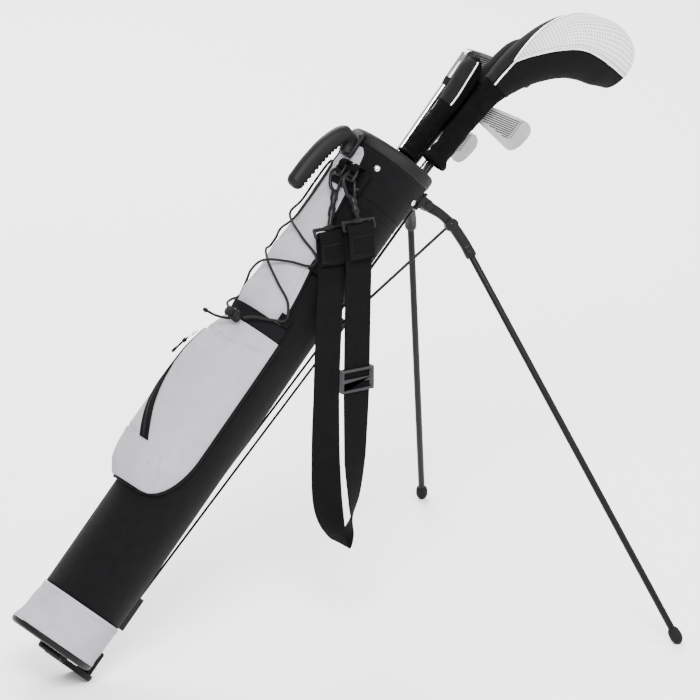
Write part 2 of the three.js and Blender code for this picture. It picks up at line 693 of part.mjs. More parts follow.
function ironHead(foot, rim, top, turn, { length, toe, heel }) {
  const blade = new THREE.Shape();
  blade.moveTo(-6, -6);
  blade.quadraticCurveTo(-6, heel * 0.9, 10, heel);
  blade.quadraticCurveTo(length * 0.55, heel + 14, length - 14, heel + 19);
  blade.quadraticCurveTo(length + 2, heel + 17, length, heel - 2);
  blade.quadraticCurveTo(length - 2, heel + 19 - toe, length - 14, heel + 19 - toe);
  blade.lineTo(10, -2);
  const slab = new THREE.ExtrudeGeometry(blade, { depth: 18, bevelEnabled: false, curveSegments: 4 })
    .rotateX(Math.PI / 2);
  const place = slab.translate(0, 14, 0).attributes.position;
  for (let i = 0; i < place.count; i++) {
    if (place.getY(i) > 0) {
      place.setY(i, 1.5 + 9.5 * THREE.MathUtils.clamp((place.getZ(i) + 8) / (heel + 27), 0, 1));
    }
  }
  const hosel = rod(V(0, 0, -34), V(0, 0, 8), 6.2, 6.4, 14);
  const bore = rod(V(0, 0, -60), V(0, 0, 2), 4.9, 4.9, 12);
  const axis = rim.clone().sub(foot).normalize();
  const frame = new THREE.Matrix4().makeRotationFromQuaternion(
    new THREE.Quaternion().setFromUnitVectors(V(0, 0, 1), axis),
  ).multiply(new THREE.Matrix4().makeRotationZ(THREE.MathUtils.degToRad(turn)));
  frame.setPosition(lineAt(foot, rim, top));
  return carve([slab, hosel], [bore]).applyMatrix4(frame);
}

const IRONS = [
  ['iron_front', V(0, -12, 6), V(49, -6, 830), 944, -30, { length: 92, toe: 48, heel: 20 }],
  ['iron_low', V(-10, 39, 6), V(36, 34, 830), 896, 0, { length: 90, toe: 48, heel: 20 }],
  ['iron_back', V(18, 16, 6), V(23, 28, 830), 1002, 10, { length: 88, toe: 44, heel: 20 }],
];
for (const [name, foot, rim, top, turn, size] of IRONS) {
  shaftAndGrip(name, foot, rim, top, steel());
  add(`${name}_head`, ironHead(foot, rim, top, turn, size), steel());
}

// Soft cover: a shell round the head and down the shaft, open at its low end.
function cover(spine, wall) {
  const points = spine.map(([x, y, z]) => V(x, y, z));
  const curve = new THREE.CatmullRomCurve3(points, false, 'centripetal');
  const steps = 12;
  const line = curve.getPoints(steps);
  const size = (i, k) => {
    const f = (i / steps) * (spine.length - 1);
    const j = Math.min(Math.floor(f), spine.length - 2);
    return lerp(spine[j][k], spine[j + 1][k], f - j);
  };
  const outer = sweepRings(line, (i) => circle(12, size(i, 4), size(i, 3)), V(0, 1, 0));
  const shrink = (i) => circle(12, Math.max(size(i, 4) - wall, 1), Math.max(size(i, 3) - wall, 1));
  const inner = sweepRings(line, shrink, V(0, 1, 0)).slice(0, steps - 1);
  return loft([...inner.reverse(), ...outer]);
}

// Wood head: a flattened ellipsoid beside the shaft's end, with its hosel.
function woodHead(foot, rim, top, { centre, size, tilt }) {
  const blob = new THREE.SphereGeometry(1, 10, 6).scale(...size)
    .rotateY(THREE.MathUtils.degToRad(tilt)).translate(...centre);
  const at = (z) => lineAt(foot, rim, z);
  const hosel = rod(at(top - 30), at(top + 8), 6, 6.8, 10);
  const neck = rod(at(top + 5), at(top).lerp(V(...centre), 0.95), 6.5, 7, 8);
  const bore = rod(at(top - 60), at(top + 4), 4.9, 4.9, 10);
  return carve([hosel, neck, blob], [bore]);
}

// Spine rows: x, y, z, half height in the bag's middle plane, half width across it.
const WOODS = [
  ['driver', V(-6, -40, 6), V(37, -34, 830), 1008,
    { centre: [98, -67, 1104], size: [51, 22, 25], tilt: -24 },
    [[38.5, -34, 850, 19, 19], [40, -34, 880, 16, 16.5], [43.5, -35, 920, 16, 16.5],
      [46, -37, 965, 17.5, 18], [50, -44, 1006, 24, 24], [62, -57, 1052, 36, 31],
      [92, -68, 1096, 47, 36], [138, -70, 1117, 48, 36], [178, -69, 1121, 38, 29],
      [194, -68, 1122, 22, 18]]],
  ['fairway', V(-38, 6, 6), V(45, 14, 830), 974,
    { centre: [79, -5, 1040], size: [20, 11, 13], tilt: -30 },
    [[52.6, 14.7, 903, 13, 13], [54, 15, 918, 12.5, 12.5], [57.5, 15.5, 945, 13, 12.5],
      [61, 13.5, 980, 15, 14.5], [69, 3, 1014, 24, 20], [82, -5, 1042, 35, 22],
      [102, -6, 1054, 36, 22], [118, -6, 1058, 22, 16]]],
  ['hybrid', V(-28, -22, 6), V(19, -1, 830), 940,
    { centre: [25, 0, 966], size: [10, 10, 22], tilt: 0 },
    [[19, -1, 840, 16, 16], [20, -0.5, 862, 14.5, 14.5], [23, 0, 905, 14, 14.5], [26, 0, 940, 15.5, 17],
      [25, 0, 966, 16.5, 18], [23.5, 0, 990, 16.5, 18], [23, 0, 1012, 10, 12]]],
];
for (const [name, foot, rim, top, head, spine] of WOODS) {
  shaftAndGrip(name, foot, rim, top, mat(0x1b1c1f, 0.3, 0.2));
  add(`${name}_head`, woodHead(foot, rim, top, head), mat(0x202124, 0.25, 0.6));
  add(`${name}_cover`, cover(spine, 2.4), knit());
}

export default group;
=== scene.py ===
"""Golf club set: the looks of a leaning stand bag, its strap and its clubs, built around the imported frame.

Lengths are millimetres in the bag's own frame (x toward the legs, y across, z up the tube). The strap, its
rings and hooks are in the world frame, and each leg in the frame of its hinge. The camera and the lights, and
values whose name ends in _m or _M, are in metres. on_tube() angles are degrees from the handle side toward -y.
"""
import json
import math

import bmesh
import bpy
from mathutils import Matrix, Vector, noise


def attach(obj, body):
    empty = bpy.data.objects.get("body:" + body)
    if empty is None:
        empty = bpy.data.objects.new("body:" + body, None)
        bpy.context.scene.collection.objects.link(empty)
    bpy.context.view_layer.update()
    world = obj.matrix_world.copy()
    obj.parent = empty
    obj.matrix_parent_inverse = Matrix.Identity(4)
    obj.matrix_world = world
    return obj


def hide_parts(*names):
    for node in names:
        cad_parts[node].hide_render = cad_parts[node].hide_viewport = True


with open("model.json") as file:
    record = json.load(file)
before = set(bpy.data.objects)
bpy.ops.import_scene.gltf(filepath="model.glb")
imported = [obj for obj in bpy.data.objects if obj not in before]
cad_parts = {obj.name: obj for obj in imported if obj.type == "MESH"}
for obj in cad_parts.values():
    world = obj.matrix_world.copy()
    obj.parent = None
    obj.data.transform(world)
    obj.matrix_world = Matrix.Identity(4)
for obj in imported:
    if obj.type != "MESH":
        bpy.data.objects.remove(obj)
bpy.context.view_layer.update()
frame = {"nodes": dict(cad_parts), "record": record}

# ---- driving dimensions
MM = 0.001
LEAN = math.radians(41.71)
BASE = Vector((-43.6, 0, 59.4))
BAG = Matrix.Translation(BASE) @ Matrix.Rotation(LEAN, 4, "Y")
WORLD = Matrix.Identity(4)
FABRIC_R = 60.4
BOOT_TOP = 63.7
HEM_Z = 735
INNER_R = 58.4
SLEEVE_Z0, SLEEVE_Z1 = 64.3, 787.6
BAND_HALF_ANGLE = 70

LEG_SPREAD = math.radians(27.7)
HINGE_R = 78
HINGE_Z = 798
LEG_REACH = 645
LEG_TUBE_R = 4.9
BOSS_D = 45
BLOCK_X = 88
BLOCK_Z = 588
WIRE_R = 1.75
WIRE_SPREAD = 8.3
WIRE_FOOT = (68, 112)
ROD_R = 2.1
ROD_OUT_LOW, ROD_OUT_HIGH = 10.8, 11.6
STRAP_PIVOT = (402.5, 672.5)
RINGS_Y = {"near": -50, "far": -18}
STRAP_HALF = 21
STRAP_BARS = {"near": Vector((404, -76, 608)), "far": Vector((368, -60, 600))}

CAMERA_AIM = Vector((0.4221, 0, 0.40))
CAMERA_AZIMUTH = -31.57
CAMERA_ELEVATION = 19.13
CAMERA_DISTANCE = 6.705
CAMERA_LENS = 244.2
CAMERA_NUDGE = (0.0114, 0.0043)
SENSOR_WIDTH = 36
LIGHT_AIM = Vector((0.4, 0, 0.4))
LIGHTS = (("key", (-1.6, -3.2, 4.2), 2.2, 620), ("fill", (3.6, -2.6, 2.6), 2.6, 120),
          ("back", (1.5, 3.5, 3.5), 2.6, 420))
WORLD_STRENGTH = 1.5

CREASE = 38
WAVE_PERIOD_M = 0.314159


# ---- small maths
def lerp(a, b, t):
    return a + (b - a) * t


def clamp(x):
    return max(0.0, min(1.0, x))


def smooth(lo, hi, x):
    t = clamp((x - lo) / (hi - lo))
    return t * t * (3 - 2 * t)


def ripple(x, y, z=0.0):
    """Smooth noise from -1 to 1."""
    return noise.noise(Vector((x, y, z)))


def round_ripple(t, k, along):
    """Smooth noise round a turn t in radians; a larger k is finer."""
    return ripple(k * math.cos(t), k * math.sin(t), along)


def bell(x, middle, width):
    return math.exp(-((x - middle) / width) ** 2)


def table(rows, x):
    """Straight interpolation in rows of (place, value)."""
    for (x0, y0), (x1, y1) in zip(rows, rows[1:]):
        if x <= x1:
            return lerp(y0, y1, clamp((x - x0) / (x1 - x0)))
    return rows[-1][1]


def on_tube(angle, r, z):
    t = math.radians(angle)
    return Vector((-r * math.cos(t), -r * math.sin(t), z))


def catmull(points, steps):
    """Centripetal Catmull-Rom curve through points, the same curve as the CAD's."""
    points = [Vector(p) for p in points]
    pts = [points[0] * 2 - points[1], *points, points[-1] * 2 - points[-2]]
    out = []
    for i in range(steps + 1):
        at = (len(points) - 1) * i / steps
        k = min(int(at), len(points) - 2)
        w = at - k
        p0, p1, p2, p3 = pts[k:k + 4]
        d0, d1, d2 = [max((b - a).length ** 0.5, 1e-4) for a, b in ((p0, p1), (p1, p2), (p2, p3))]
        t1 = ((p1 - p0) / d0 - (p2 - p0) / (d0 + d1) + (p2 - p1) / d1) * d1
        t2 = ((p2 - p1) / d1 - (p3 - p1) / (d1 + d2) + (p3 - p2) / d2) * d1
        out.append(p1 + t1 * w + (3 * (p2 - p1) - 2 * t1 - t2) * w * w
                   + (2 * (p1 - p2) + t1 + t2) * w ** 3)
    return out


def turns_of(n):
    return [2 * math.pi * j / n for j in range(n)]


def circle(n, r):
    return [(r * math.cos(t), r * math.sin(t)) for t in turns_of(n)]


def sweep(points, section, side):
    """Rings of a section carried along points; side gives the section's first direction."""
    rings = []
    for i, p in enumerate(points):
        t = (points[min(i + 1, len(points) - 1)] - points[max(i - 1, 0)]).normalized()
        wanted = side(i) if callable(side) else side
        u = (wanted - t * wanted.dot(t)).normalized()
        v = t.cross(u)
        shape = section(i) if callable(section) else section
        rings.append([p + u * a + v * b for a, b in shape])
    return rings


# ---- mesh building
def skin(rings, start=0, loop=False):
    """Faces through rings whose first point is vertex number start, with end faces unless they loop."""
    n, rows = len(rings[0]), len(rings)
    faces = []
    for i in range(rows if loop else rows - 1):
        a, b = start + i * n, start + (i + 1) % rows * n
        faces += [(a + j, a + (j + 1) % n, b + (j + 1) % n, b + j) for j in range(n)]
    if not loop:
        faces += [tuple(range(first, first + n)) for first in (start, start + (rows - 1) * n)]
    return faces


def build(name, rings, material, body, place=BAG, loop=False, replaces=()):
    """Closed mesh through rings of points, with a UV map in metres: u round a ring, v along."""
    n, rows = len(rings[0]), len(rings)
    middle = rings[rows // 2]
    around, along = [0.0], [0.0]
    for j in range(n):
        around.append(around[-1] + (middle[(j + 1) % n] - middle[j]).length * MM)
    for a, b in zip(rings, rings[1:] + rings[:1]):
        along.append(along[-1] + (b[0] - a[0]).length * MM)
    uvs = []
    for i in range(rows if loop else rows - 1):
        for j in range(n):
            uvs += [(around[j + s], along[i + t]) for s, t in ((0, 0), (1, 0), (1, 1), (0, 1))]
    if not loop:
        uvs += [(around[j], along[0]) for j in range(n)] * 2
    mesh = bpy.data.meshes.new(name)
    mesh.from_pydata([place @ p * MM for ring in rings for p in ring], [], skin(rings, loop=loop))
    layer = mesh.uv_layers.new(name="UVMap")
    layer.data.foreach_set("uv", [c for uv in uvs for c in uv])
    return finish_piece(name, smooth_outward(mesh), material, body, replaces)


def smooth_outward(mesh):
    """Smooth shading, with every face turned outward."""
    mesh.shade_smooth()
    bm = bmesh.new()
    bm.from_mesh(mesh)
    bmesh.ops.recalc_face_normals(bm, faces=bm.faces)
    bm.to_mesh(mesh)
    bm.free()
    return mesh


def add_object(name, data):
    item = bpy.data.objects.new(name, data)
    bpy.context.scene.collection.objects.link(item)
    return item


def finish_piece(name, mesh, material, body, replaces):
    piece = add_object(name, mesh)
    mesh.materials.append(material)
    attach(piece, body)
    if replaces:
        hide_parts(*replaces)
    return piece


def mark_creases(bm, degrees=CREASE):
    """Keeps an edge crisp where the surface turns by more than the angle."""
    limit = math.radians(degrees)
    for edge in bm.edges:
        edge.smooth = not (len(edge.link_faces) == 2 and edge.calc_face_angle(0) > limit)


def join_shells(name, shells, material, body, replaces=(), place=BAG):
    """One mesh of several closed shells, each a list of rings."""
    verts, faces = [], []
    for rings in shells:
        faces += skin(rings, len(verts))
        verts += [place @ p * MM for ring in rings for p in ring]
    mesh = bpy.data.meshes.new(name)
    mesh.from_pydata(verts, [], faces)
    piece = finish_piece(name, smooth_outward(mesh), material, body, replaces)
    bm = bmesh.new()
    bm.from_mesh(mesh)
    mark_creases(bm)
    bm.to_mesh(mesh)
    bm.free()
    return piece


def rod_rings(a, b, profile, n=32):
    """Rings of revolution on the line a to b, from (share of the way, radius)."""
    t = (b - a).normalized()
    side = Vector((0, 1, 0)) if abs(t.y) < 0.9 else Vector((1, 0, 0))
    u = (side - t * side.dot(t)).normalized()
    v = t.cross(u)
    rings = []
    for share, r in profile:
        at = a.lerp(b, share)
        rings.append([at + u * x + v * y for x, y in circle(n, r)])
    return rings


def rod(a, b, r, n=32, edge=0.3):
    """Round bar with softened ends."""
    e = min(edge, r * 0.4) / (b - a).length
    return rod_rings(a, b, [(0, r - edge * 0.8), (e, r), (1 - e, r), (1, r - edge * 0.8)], n)


def block(x0, x1, y0, y1, z0, z1, r):
    """Box with rounded corners along z and softened ends."""
    corners = []
    for cx, cy, start in ((x1 - r, y1 - r, 0), (x0 + r, y1 - r, 90), (x0 + r, y0 + r, 180),
                          (x1 - r, y0 + r, 270)):
        turns = [math.radians(start + 22.5 * step) for step in range(5)]
        corners += [(cx + r * math.cos(t), cy + r * math.sin(t)) for t in turns]
    mx, my = (x0 + x1) / 2, (y0 + y1) / 2
    e = min(r, (z1 - z0) / 2) * 0.5
    rings = []
    for z, inset in ((z0, e * 0.7), (z0 + e, 0), (z1 - e, 0), (z1, e * 0.7)):
        kx, ky = 1 - inset / (x1 - mx), 1 - inset / (y1 - my)
        rings.append([Vector((mx + (x - mx) * kx, my + (y - my) * ky, z)) for x, y in corners])
    return rings


def tube_rings(points, r, n=12, side=Vector((0, 0, 1))):
    radius = r if callable(r) else lambda i: r
    return sweep(points, lambda i: circle(n, radius(i)), side)


def patch_rings(z0, z1, rows, cols, edge, outer, inner):
    """Thin solid over part of the tube, between the two angles of edge(v); radii from (u, v)."""
    rings = []
    for i in range(rows + 1):
        v = i / rows
        z = lerp(z0, z1, v)
        cells = [(j / cols, lerp(*edge(v), j / cols)) for j in range(cols + 1)]
        over = [on_tube(a, outer(u, v), z) for u, a in cells]
        under = [on_tube(a, inner(u, v) if callable(inner) else inner, z) for u, a in cells]
        rings.append(over + under[::-1])
    return rings


def stitches(name, lines, body, material, r=0.32, pitch=3.2, place=BAG):
    """Short raised threads along lines of points."""
    shells = []
    for points in lines:
        length = [0.0]
        for a, b in zip(points, points[1:]):
            length.append(length[-1] + (b - a).length)

        def at(d):
            for i in range(len(points) - 1):
                if d <= length[i + 1]:
                    return points[i].lerp(points[i + 1], (d - length[i]) / (length[i + 1] - length[i]))
            return points[-1]

        for k in range(max(int(length[-1] / pitch), 1)):
            a, b = at((k + 0.14) * pitch), at(min((k + 0.86) * pitch, length[-1]))
            if (b - a).length > 0.4:
                shells.append(rod_rings(a, b, [(0, r * 0.5), (0.2, r), (0.8, r), (1, r * 0.5)], 6))
    return join_shells(name, shells, material, body, place=place)


def refine(node, material, bevel, angle=CREASE):
    """A finer copy of a CAD node: joined corners, smooth curves and softened edges."""
    mesh = frame["nodes"][node].data.copy()
    mesh.materials.clear()
    layer = mesh.attributes.get("custom_normal")
    if mesh.has_custom_normals and layer:
        mesh.attributes.remove(layer)
    bm = bmesh.new()
    bm.from_mesh(mesh)
    bmesh.ops.remove_doubles(bm, verts=bm.verts, dist=2e-5)
    bmesh.ops.dissolve_limit(bm, angle_limit=math.radians(1), verts=bm.verts, edges=bm.edges)
    for face in bm.faces:
        face.smooth = True
    mark_creases(bm, angle)
    bm.to_mesh(mesh)
    bm.free()
    body = next(b for b, nodes in frame["record"]["behaviour"]["bodies"].items() if node in nodes)
    piece = finish_piece(node + "_fine", mesh, material, body, [node])
    if bevel:
        mod = piece.modifiers.new("soft_edges", "BEVEL")
        mod.width = bevel * MM
        mod.segments = 2
        mod.limit_method = "ANGLE"
        mod.angle_limit = math.radians(angle)


# ---- materials
class Nodes:
    """Short way to write a material's node tree."""

    def __init__(self, name, color, rough, metallic=0.0, sheen=0.0, coat=0.0, specular=0.5):
        self.material = bpy.data.materials.new(name)
        self.material.use_nodes = True
        self.material.diffuse_color = (*color, 1)
        self.color = color
        self.tree = self.material.node_tree
        self.shader = self.tree.nodes["Principled BSDF"]
        self.coords = self.tree.nodes.new("ShaderNodeTexCoord")
        for socket, value in (("Base Color", (*color, 1)), ("Roughness", rough), ("Metallic", metallic),
                              ("Sheen Weight", sheen), ("Coat Weight", coat),
                              ("Specular IOR Level", specular)):
            self.shader.inputs[socket].default_value = value

    def add(self, kind, inputs):
        """New node; each input is a value or another node's output."""
        node = self.tree.nodes.new("ShaderNode" + kind)
        for socket, value in inputs.items():
            if isinstance(value, bpy.types.NodeSocket):
                self.tree.links.new(value, node.inputs[socket])
            else:
                node.inputs[socket].default_value = value
        return node

    def into(self, socket, node):
        self.tree.links.new(node.outputs[0], self.shader.inputs[socket])

    def noise(self, scale, detail=3, stretch=(1, 1, 1)):
        mapping = self.add("Mapping", {"Scale": stretch, "Vector": self.coords.outputs["Object"]})
        node = self.add("TexNoise", {"Scale": scale, "Detail": detail, "Vector": mapping.outputs[0]})
        return node.outputs["Fac"]

    def wave(self, pitch_m, direction="X", distortion=0.0):
        node = self.add("TexWave", {"Scale": WAVE_PERIOD_M / pitch_m, "Distortion": distortion,
                                    "Vector": self.coords.outputs["UV"]})
        node.wave_type = "BANDS"
        node.bands_direction = direction
        return node.outputs["Fac"]

    def math(self, operation, a, b):
        node = self.add("Math", {0: a, 1: b})
        node.operation = operation
        return node.outputs[0]

    def total(self, *parts):
        """Sum of outputs, each given with its weight."""
        result = 0.0
        for out, weight in parts:
            term = out if weight == 1 else self.math("MULTIPLY", out, weight)
            result = self.math("ADD", result, term)
        return result

    def tint(self, factor, dark, light, lo=0.35, hi=0.65):
        """Base colour between two tones by a factor."""
        ramp = self.add("ValToRGB", {0: factor})
        first, last = ramp.color_ramp.elements
        first.position, last.position = lo, hi
        first.color = (*[c * dark for c in self.color], 1)
        last.color = (*[min(c * light, 1) for c in self.color], 1)
        self.into("Base Color", ramp)

    def roughness(self, factor, lo, hi):
        self.into("Roughness", self.add("MapRange", {"Value": factor, "To Min": lo, "To Max": hi}))

    def bump(self, height, distance_m):
        self.into("Normal", self.add("Bump", {"Height": height, "Distance": distance_m, "Strength": 1.0}))


def fabric(name, color, thread_mm, depth, sheen, contrast=(0.86, 1.08)):
    """Plain weave with slightly uneven threads."""
    m = Nodes(name, color, 0.85, sheen=sheen, specular=0.07)
    weave = m.math("MULTIPLY", *(m.wave(thread_mm * MM, way, 0.6) for way in "XY"))
    uneven = m.noise(55, 4)
    m.tint(m.total((weave, 0.35), (uneven, 0.75)), *contrast)
    m.roughness(uneven, 0.77, 0.93)
    m.bump(m.total((weave, 1), (m.noise(600, 2), 0.5)), depth * MM)
    return m.material


def webbing(name, color, rib_mm=1.6, direction="Y"):
    """Ribs across a strap, with a finer warp."""
    m = Nodes(name, color, 0.9, specular=0.05)
    warp = m.wave(0.8 * MM, "X" if direction == "Y" else "Y")
    height = m.total((m.wave(rib_mm * MM, direction, 0.4), 1), (warp, 0.4))
    m.tint(m.total((height, 0.4), (m.noise(40), 0.5)), 0.7, 1.5)
    m.bump(height, 0.25 * MM)
    return m.material


def knit(name, color):
    """Ribbed knit: soft columns with a fine stitch along them."""
    m = Nodes(name, color, 0.95, specular=0.05)
    height = m.total((m.wave(2.2 * MM, "X", 0.8), 1), (m.wave(1.3 * MM, "Y", 0.8), 0.35))
    m.tint(m.math("MULTIPLY", height, m.noise(70)), 0.65, 1.6, 0.2, 0.9)
    m.bump(height, 0.35 * MM)
    return m.material


def perforated(name, color):
    """Pale spacer mesh with rows of small dark holes."""
    m = Nodes(name, color, 0.75, sheen=0.2, specular=0.3)
    dots = m.math("MULTIPLY", m.wave(6.5 * MM, "X"), m.wave(5.2 * MM, "Y"))
    fine = m.wave(0.9 * MM, "DIAGONAL")
    surface = m.math("SUBTRACT", 1.0, m.math("GREATER_THAN", dots, 0.5))
    m.tint(m.total((surface, 0.8), (fine, 0.12), (m.noise(30), -0.15)), 0.4, 1.04, 0.1, 0.8)
    m.bump(m.total((dots, -1.0), (fine, 0.2)), 0.6 * MM)
    return m.material


def plastic(name, color, rough, grain=900, depth=0.05):
    """Moulded plastic or rubber with a fine grain and rubbed patches."""
    m = Nodes(name, color, rough, specular=0.14)
    worn = m.noise(28, 5)
    m.tint(worn, 0.8, 1.35)
    m.roughness(worn, rough - 0.1, rough + 0.12)
    m.bump(m.noise(grain, 2), depth * MM)
    return m.material


def paint(name, color, rough):
    """Gloss or satin paint over a drawn tube."""
    m = Nodes(name, color, rough, coat=0.03, specular=0.12)
    drawn = m.noise(30, 4, stretch=(1, 1, 0.2))
    m.tint(drawn, 0.85, 1.5)
    m.roughness(drawn, rough - 0.1, rough + 0.1)
    m.bump(m.noise(700, 2), 0.012 * MM)
    return m.material


def metal(name, color, rough, stretch=(1, 1, 12)):
    """Bare metal with fine brushing and faint smudges."""
    m = Nodes(name, color, rough, metallic=1.0)
    brushed = m.noise(260, 3, stretch)
    smudge = m.noise(24, 4)
    m.tint(smudge, 0.86, 1.08)
    m.roughness(m.total((brushed, 0.5), (smudge, 0.5)), rough - 0.07, rough + 0.15)
    m.bump(brushed, 0.02 * MM)
    return m.material


def braid(name, color):
    """Round elastic cord with crossing yarns."""
    m = Nodes(name, color, 0.8, sheen=0.02, specular=0.2)
    yarns = m.math("MAXIMUM", m.wave(1.5 * MM, "DIAGONAL"), m.wave(1.2 * MM, "Y"))
    m.tint(m.math("MULTIPLY", yarns, m.noise(120)), 0.7, 1.6, 0.2, 0.8)
    m.bump(yarns, 0.2 * MM)
    return m.material


BLACK_FABRIC = fabric("black_weave", (0.0022, 0.0023, 0.0026), 1.0, 0.16, 0.02, (0.75, 1.5))
GREY_FABRIC = fabric("grey_weave", (0.27, 0.27, 0.292), 0.7, 0.07, 0.02, (0.93, 1.05))
SOFT_BLACK = fabric("soft_black_skirt", (0.0022, 0.0022, 0.0024), 0.8, 0.1, 0.01, (0.8, 1.3))
PANEL_BLACK = fabric("dark_panel_weave", (0.0062, 0.0062, 0.0066), 0.8, 0.1, 0.02, (0.8, 1.4))
KNIT = knit("black_rib_knit", (0.0024, 0.0024, 0.0026))
MESH = perforated("pale_spacer_mesh", (0.60, 0.60, 0.61))
WEB = webbing("black_webbing_weave", (0.0026, 0.0026, 0.0028))
ELASTIC = webbing("black_elastic_weave", (0.005, 0.005, 0.0055), 1.2, "X")
PIPING = fabric("black_piping_weave", (0.003, 0.003, 0.0032), 0.7, 0.08, 0.02)
PALE_PIPING = plastic("pale_piping_vinyl", (0.70, 0.70, 0.71), 0.45, 500, 0.03)
THREAD_BLACK = braid("black_thread", (0.006, 0.006, 0.0065))
THREAD_GREY = braid("grey_thread", (0.25, 0.25, 0.27))
THREAD_PALE = braid("pale_thread", (0.36, 0.36, 0.37))
CORD = braid("black_cord_braid", (0.0028, 0.0028, 0.003))
PLASTIC = plastic("black_grained_plastic", (0.0026, 0.0026, 0.003), 0.5)
HANDLE = plastic("handle_grained_plastic", (0.003, 0.003, 0.0034), 0.55, 420, 0.16)
RUBBER = plastic("black_rubber_matte", (0.004, 0.004, 0.0043), 0.75, 500, 0.1)
GRIP = plastic("club_grip_rubber", (0.006, 0.006, 0.0065), 0.8, 350, 0.25)
LINER = plastic("liner_plastic", (0.01, 0.01, 0.011), 0.6)
TUBE_PAINT = paint("leg_tube_paint", (0.0015, 0.0015, 0.0018), 0.5)
GUNMETAL = paint("gunmetal_plating", (0.003, 0.003, 0.0035), 0.42)
SILVER = metal("bright_plating", (0.72, 0.72, 0.73), 0.2)
STEEL = metal("satin_steel", (0.25, 0.252, 0.258), 0.34)
SHAFT_STEEL = metal("polished_shaft", (0.38, 0.385, 0.39), 0.16, (1, 1, 3))
GRAPHITE = paint("graphite_lacquer", (0.005, 0.005, 0.0055), 0.22)
HEAD_PAINT = paint("wood_head_lacquer", (0.02, 0.02, 0.023), 0.22)
# painted shade: dark matte stand-in for the shade inside the iron face grooves and the screw slots
GROOVE_SHADE = plastic("painted_groove_shade", (0.008, 0.008, 0.0085), 0.8, 700, 0.04)
GREY_PLASTIC = plastic("grey_buckle_plastic", (0.018, 0.018, 0.020), 0.42)


# ---- stage
def stage_set():
    bpy.ops.mesh.primitive_plane_add(size=30)
    floor = bpy.context.object
    floor.name = "studio_floor"
    m = Nodes("pale_floor", (0.93, 0.93, 0.935), 0.9, specular=0.1)
    m.tint(m.noise(1.5, 2), 0.995, 1.0)
    floor.data.materials.append(m.material)
    world = bpy.data.worlds.new("studio")
    world.use_nodes = True
    world.node_tree.nodes["Background"].inputs[0].default_value = (1, 1, 1, 1)
    world.node_tree.nodes["Background"].inputs[1].default_value = WORLD_STRENGTH
    bpy.context.scene.world = world
    for name, place, size, watts in LIGHTS:
        light = bpy.data.lights.new(name, "AREA")
        light.size = size
        light.energy = watts
        lamp = add_object(name, light)
        lamp.location = place
        lamp.rotation_euler = (LIGHT_AIM - lamp.location).to_track_quat("-Z", "Y").to_euler()


def camera():
    azimuth, elevation = math.radians(CAMERA_AZIMUTH), math.radians(CAMERA_ELEVATION)
    back = Vector((math.sin(azimuth) * math.cos(elevation), -math.cos(azimuth) * math.cos(elevation),
                   math.sin(elevation)))
    right = Vector((0, 0, 1)).cross(back).normalized()
    up = back.cross(right)
    aim = CAMERA_AIM + right * CAMERA_NUDGE[0] + up * CAMERA_NUDGE[1]
    data = bpy.data.cameras.new("camera")
    data.lens = CAMERA_LENS
    data.sensor_width = SENSOR_WIDTH
    data.clip_end = 60
    eye = add_object("camera", data)
    eye.matrix_world = Matrix.Translation(aim + back * CAMERA_DISTANCE) @ Matrix(
        (right, up, back)).transposed().to_4x4()
    bpy.context.scene.camera = eye


# ---- tube, boot, collar
def round_ring(r, z, n):
    """Level ring round the tube's axis; r is a radius, or gives one for a turn in radians."""
    radius = r if callable(r) else lambda t: r
    return [Vector((radius(t) * math.cos(t), radius(t) * math.sin(t), z)) for t in turns_of(n)]


def sleeve():
    def radius(z):
        def at(t):
            base = table([(64, FABRIC_R), (600, FABRIC_R), (770, 61.6), (790, 61.6)], z)
            slack = 0.55 * round_ripple(t, 1.6, z / 95) + 0.25 * round_ripple(t, 5, z / 300 + 9)
            hem = -0.5 * bell(z, HEM_Z, 1.6) + 0.25 * smooth(HEM_Z, HEM_Z + 3, z)
            return base + slack + hem + 0.5 * bell(t, 0.35, 0.03)
        return at

    heights = {SLEEVE_Z0 + 5.2 * i for i in range(128)} | {HEM_Z + d for d in (-3, -1.5, 0, 1.5, 3, 6)}
    heights = sorted(z for z in heights if z <= SLEEVE_Z1) + [SLEEVE_Z1]
    rings = [round_ring(radius(z), z, 120) for z in heights]
    rings += [round_ring(INNER_R, z, 120) for z in (SLEEVE_Z1, SLEEVE_Z0)]
    build("sleeve", rings, BLACK_FABRIC, "bag", loop=True, replaces=["sleeve_fabric"])
    hem_line = [on_tube(a, 62.0, HEM_Z + 2.6) for a in range(20, 341, 4)]
    stitches("sleeve_hem_stitch", [hem_line], "bag", THREAD_BLACK)


def base_point(t, grow, wide, r):
    """Point at turn t between a round ring (wide 0) and the base's wider outline (wide 1)."""
    outline = Vector(((66.5 + grow) * math.cos(t) - 6.5, (63 + grow) * math.sin(t), 0))
    return Vector((r * math.cos(t), r * math.sin(t), 0)).lerp(outline, wide)


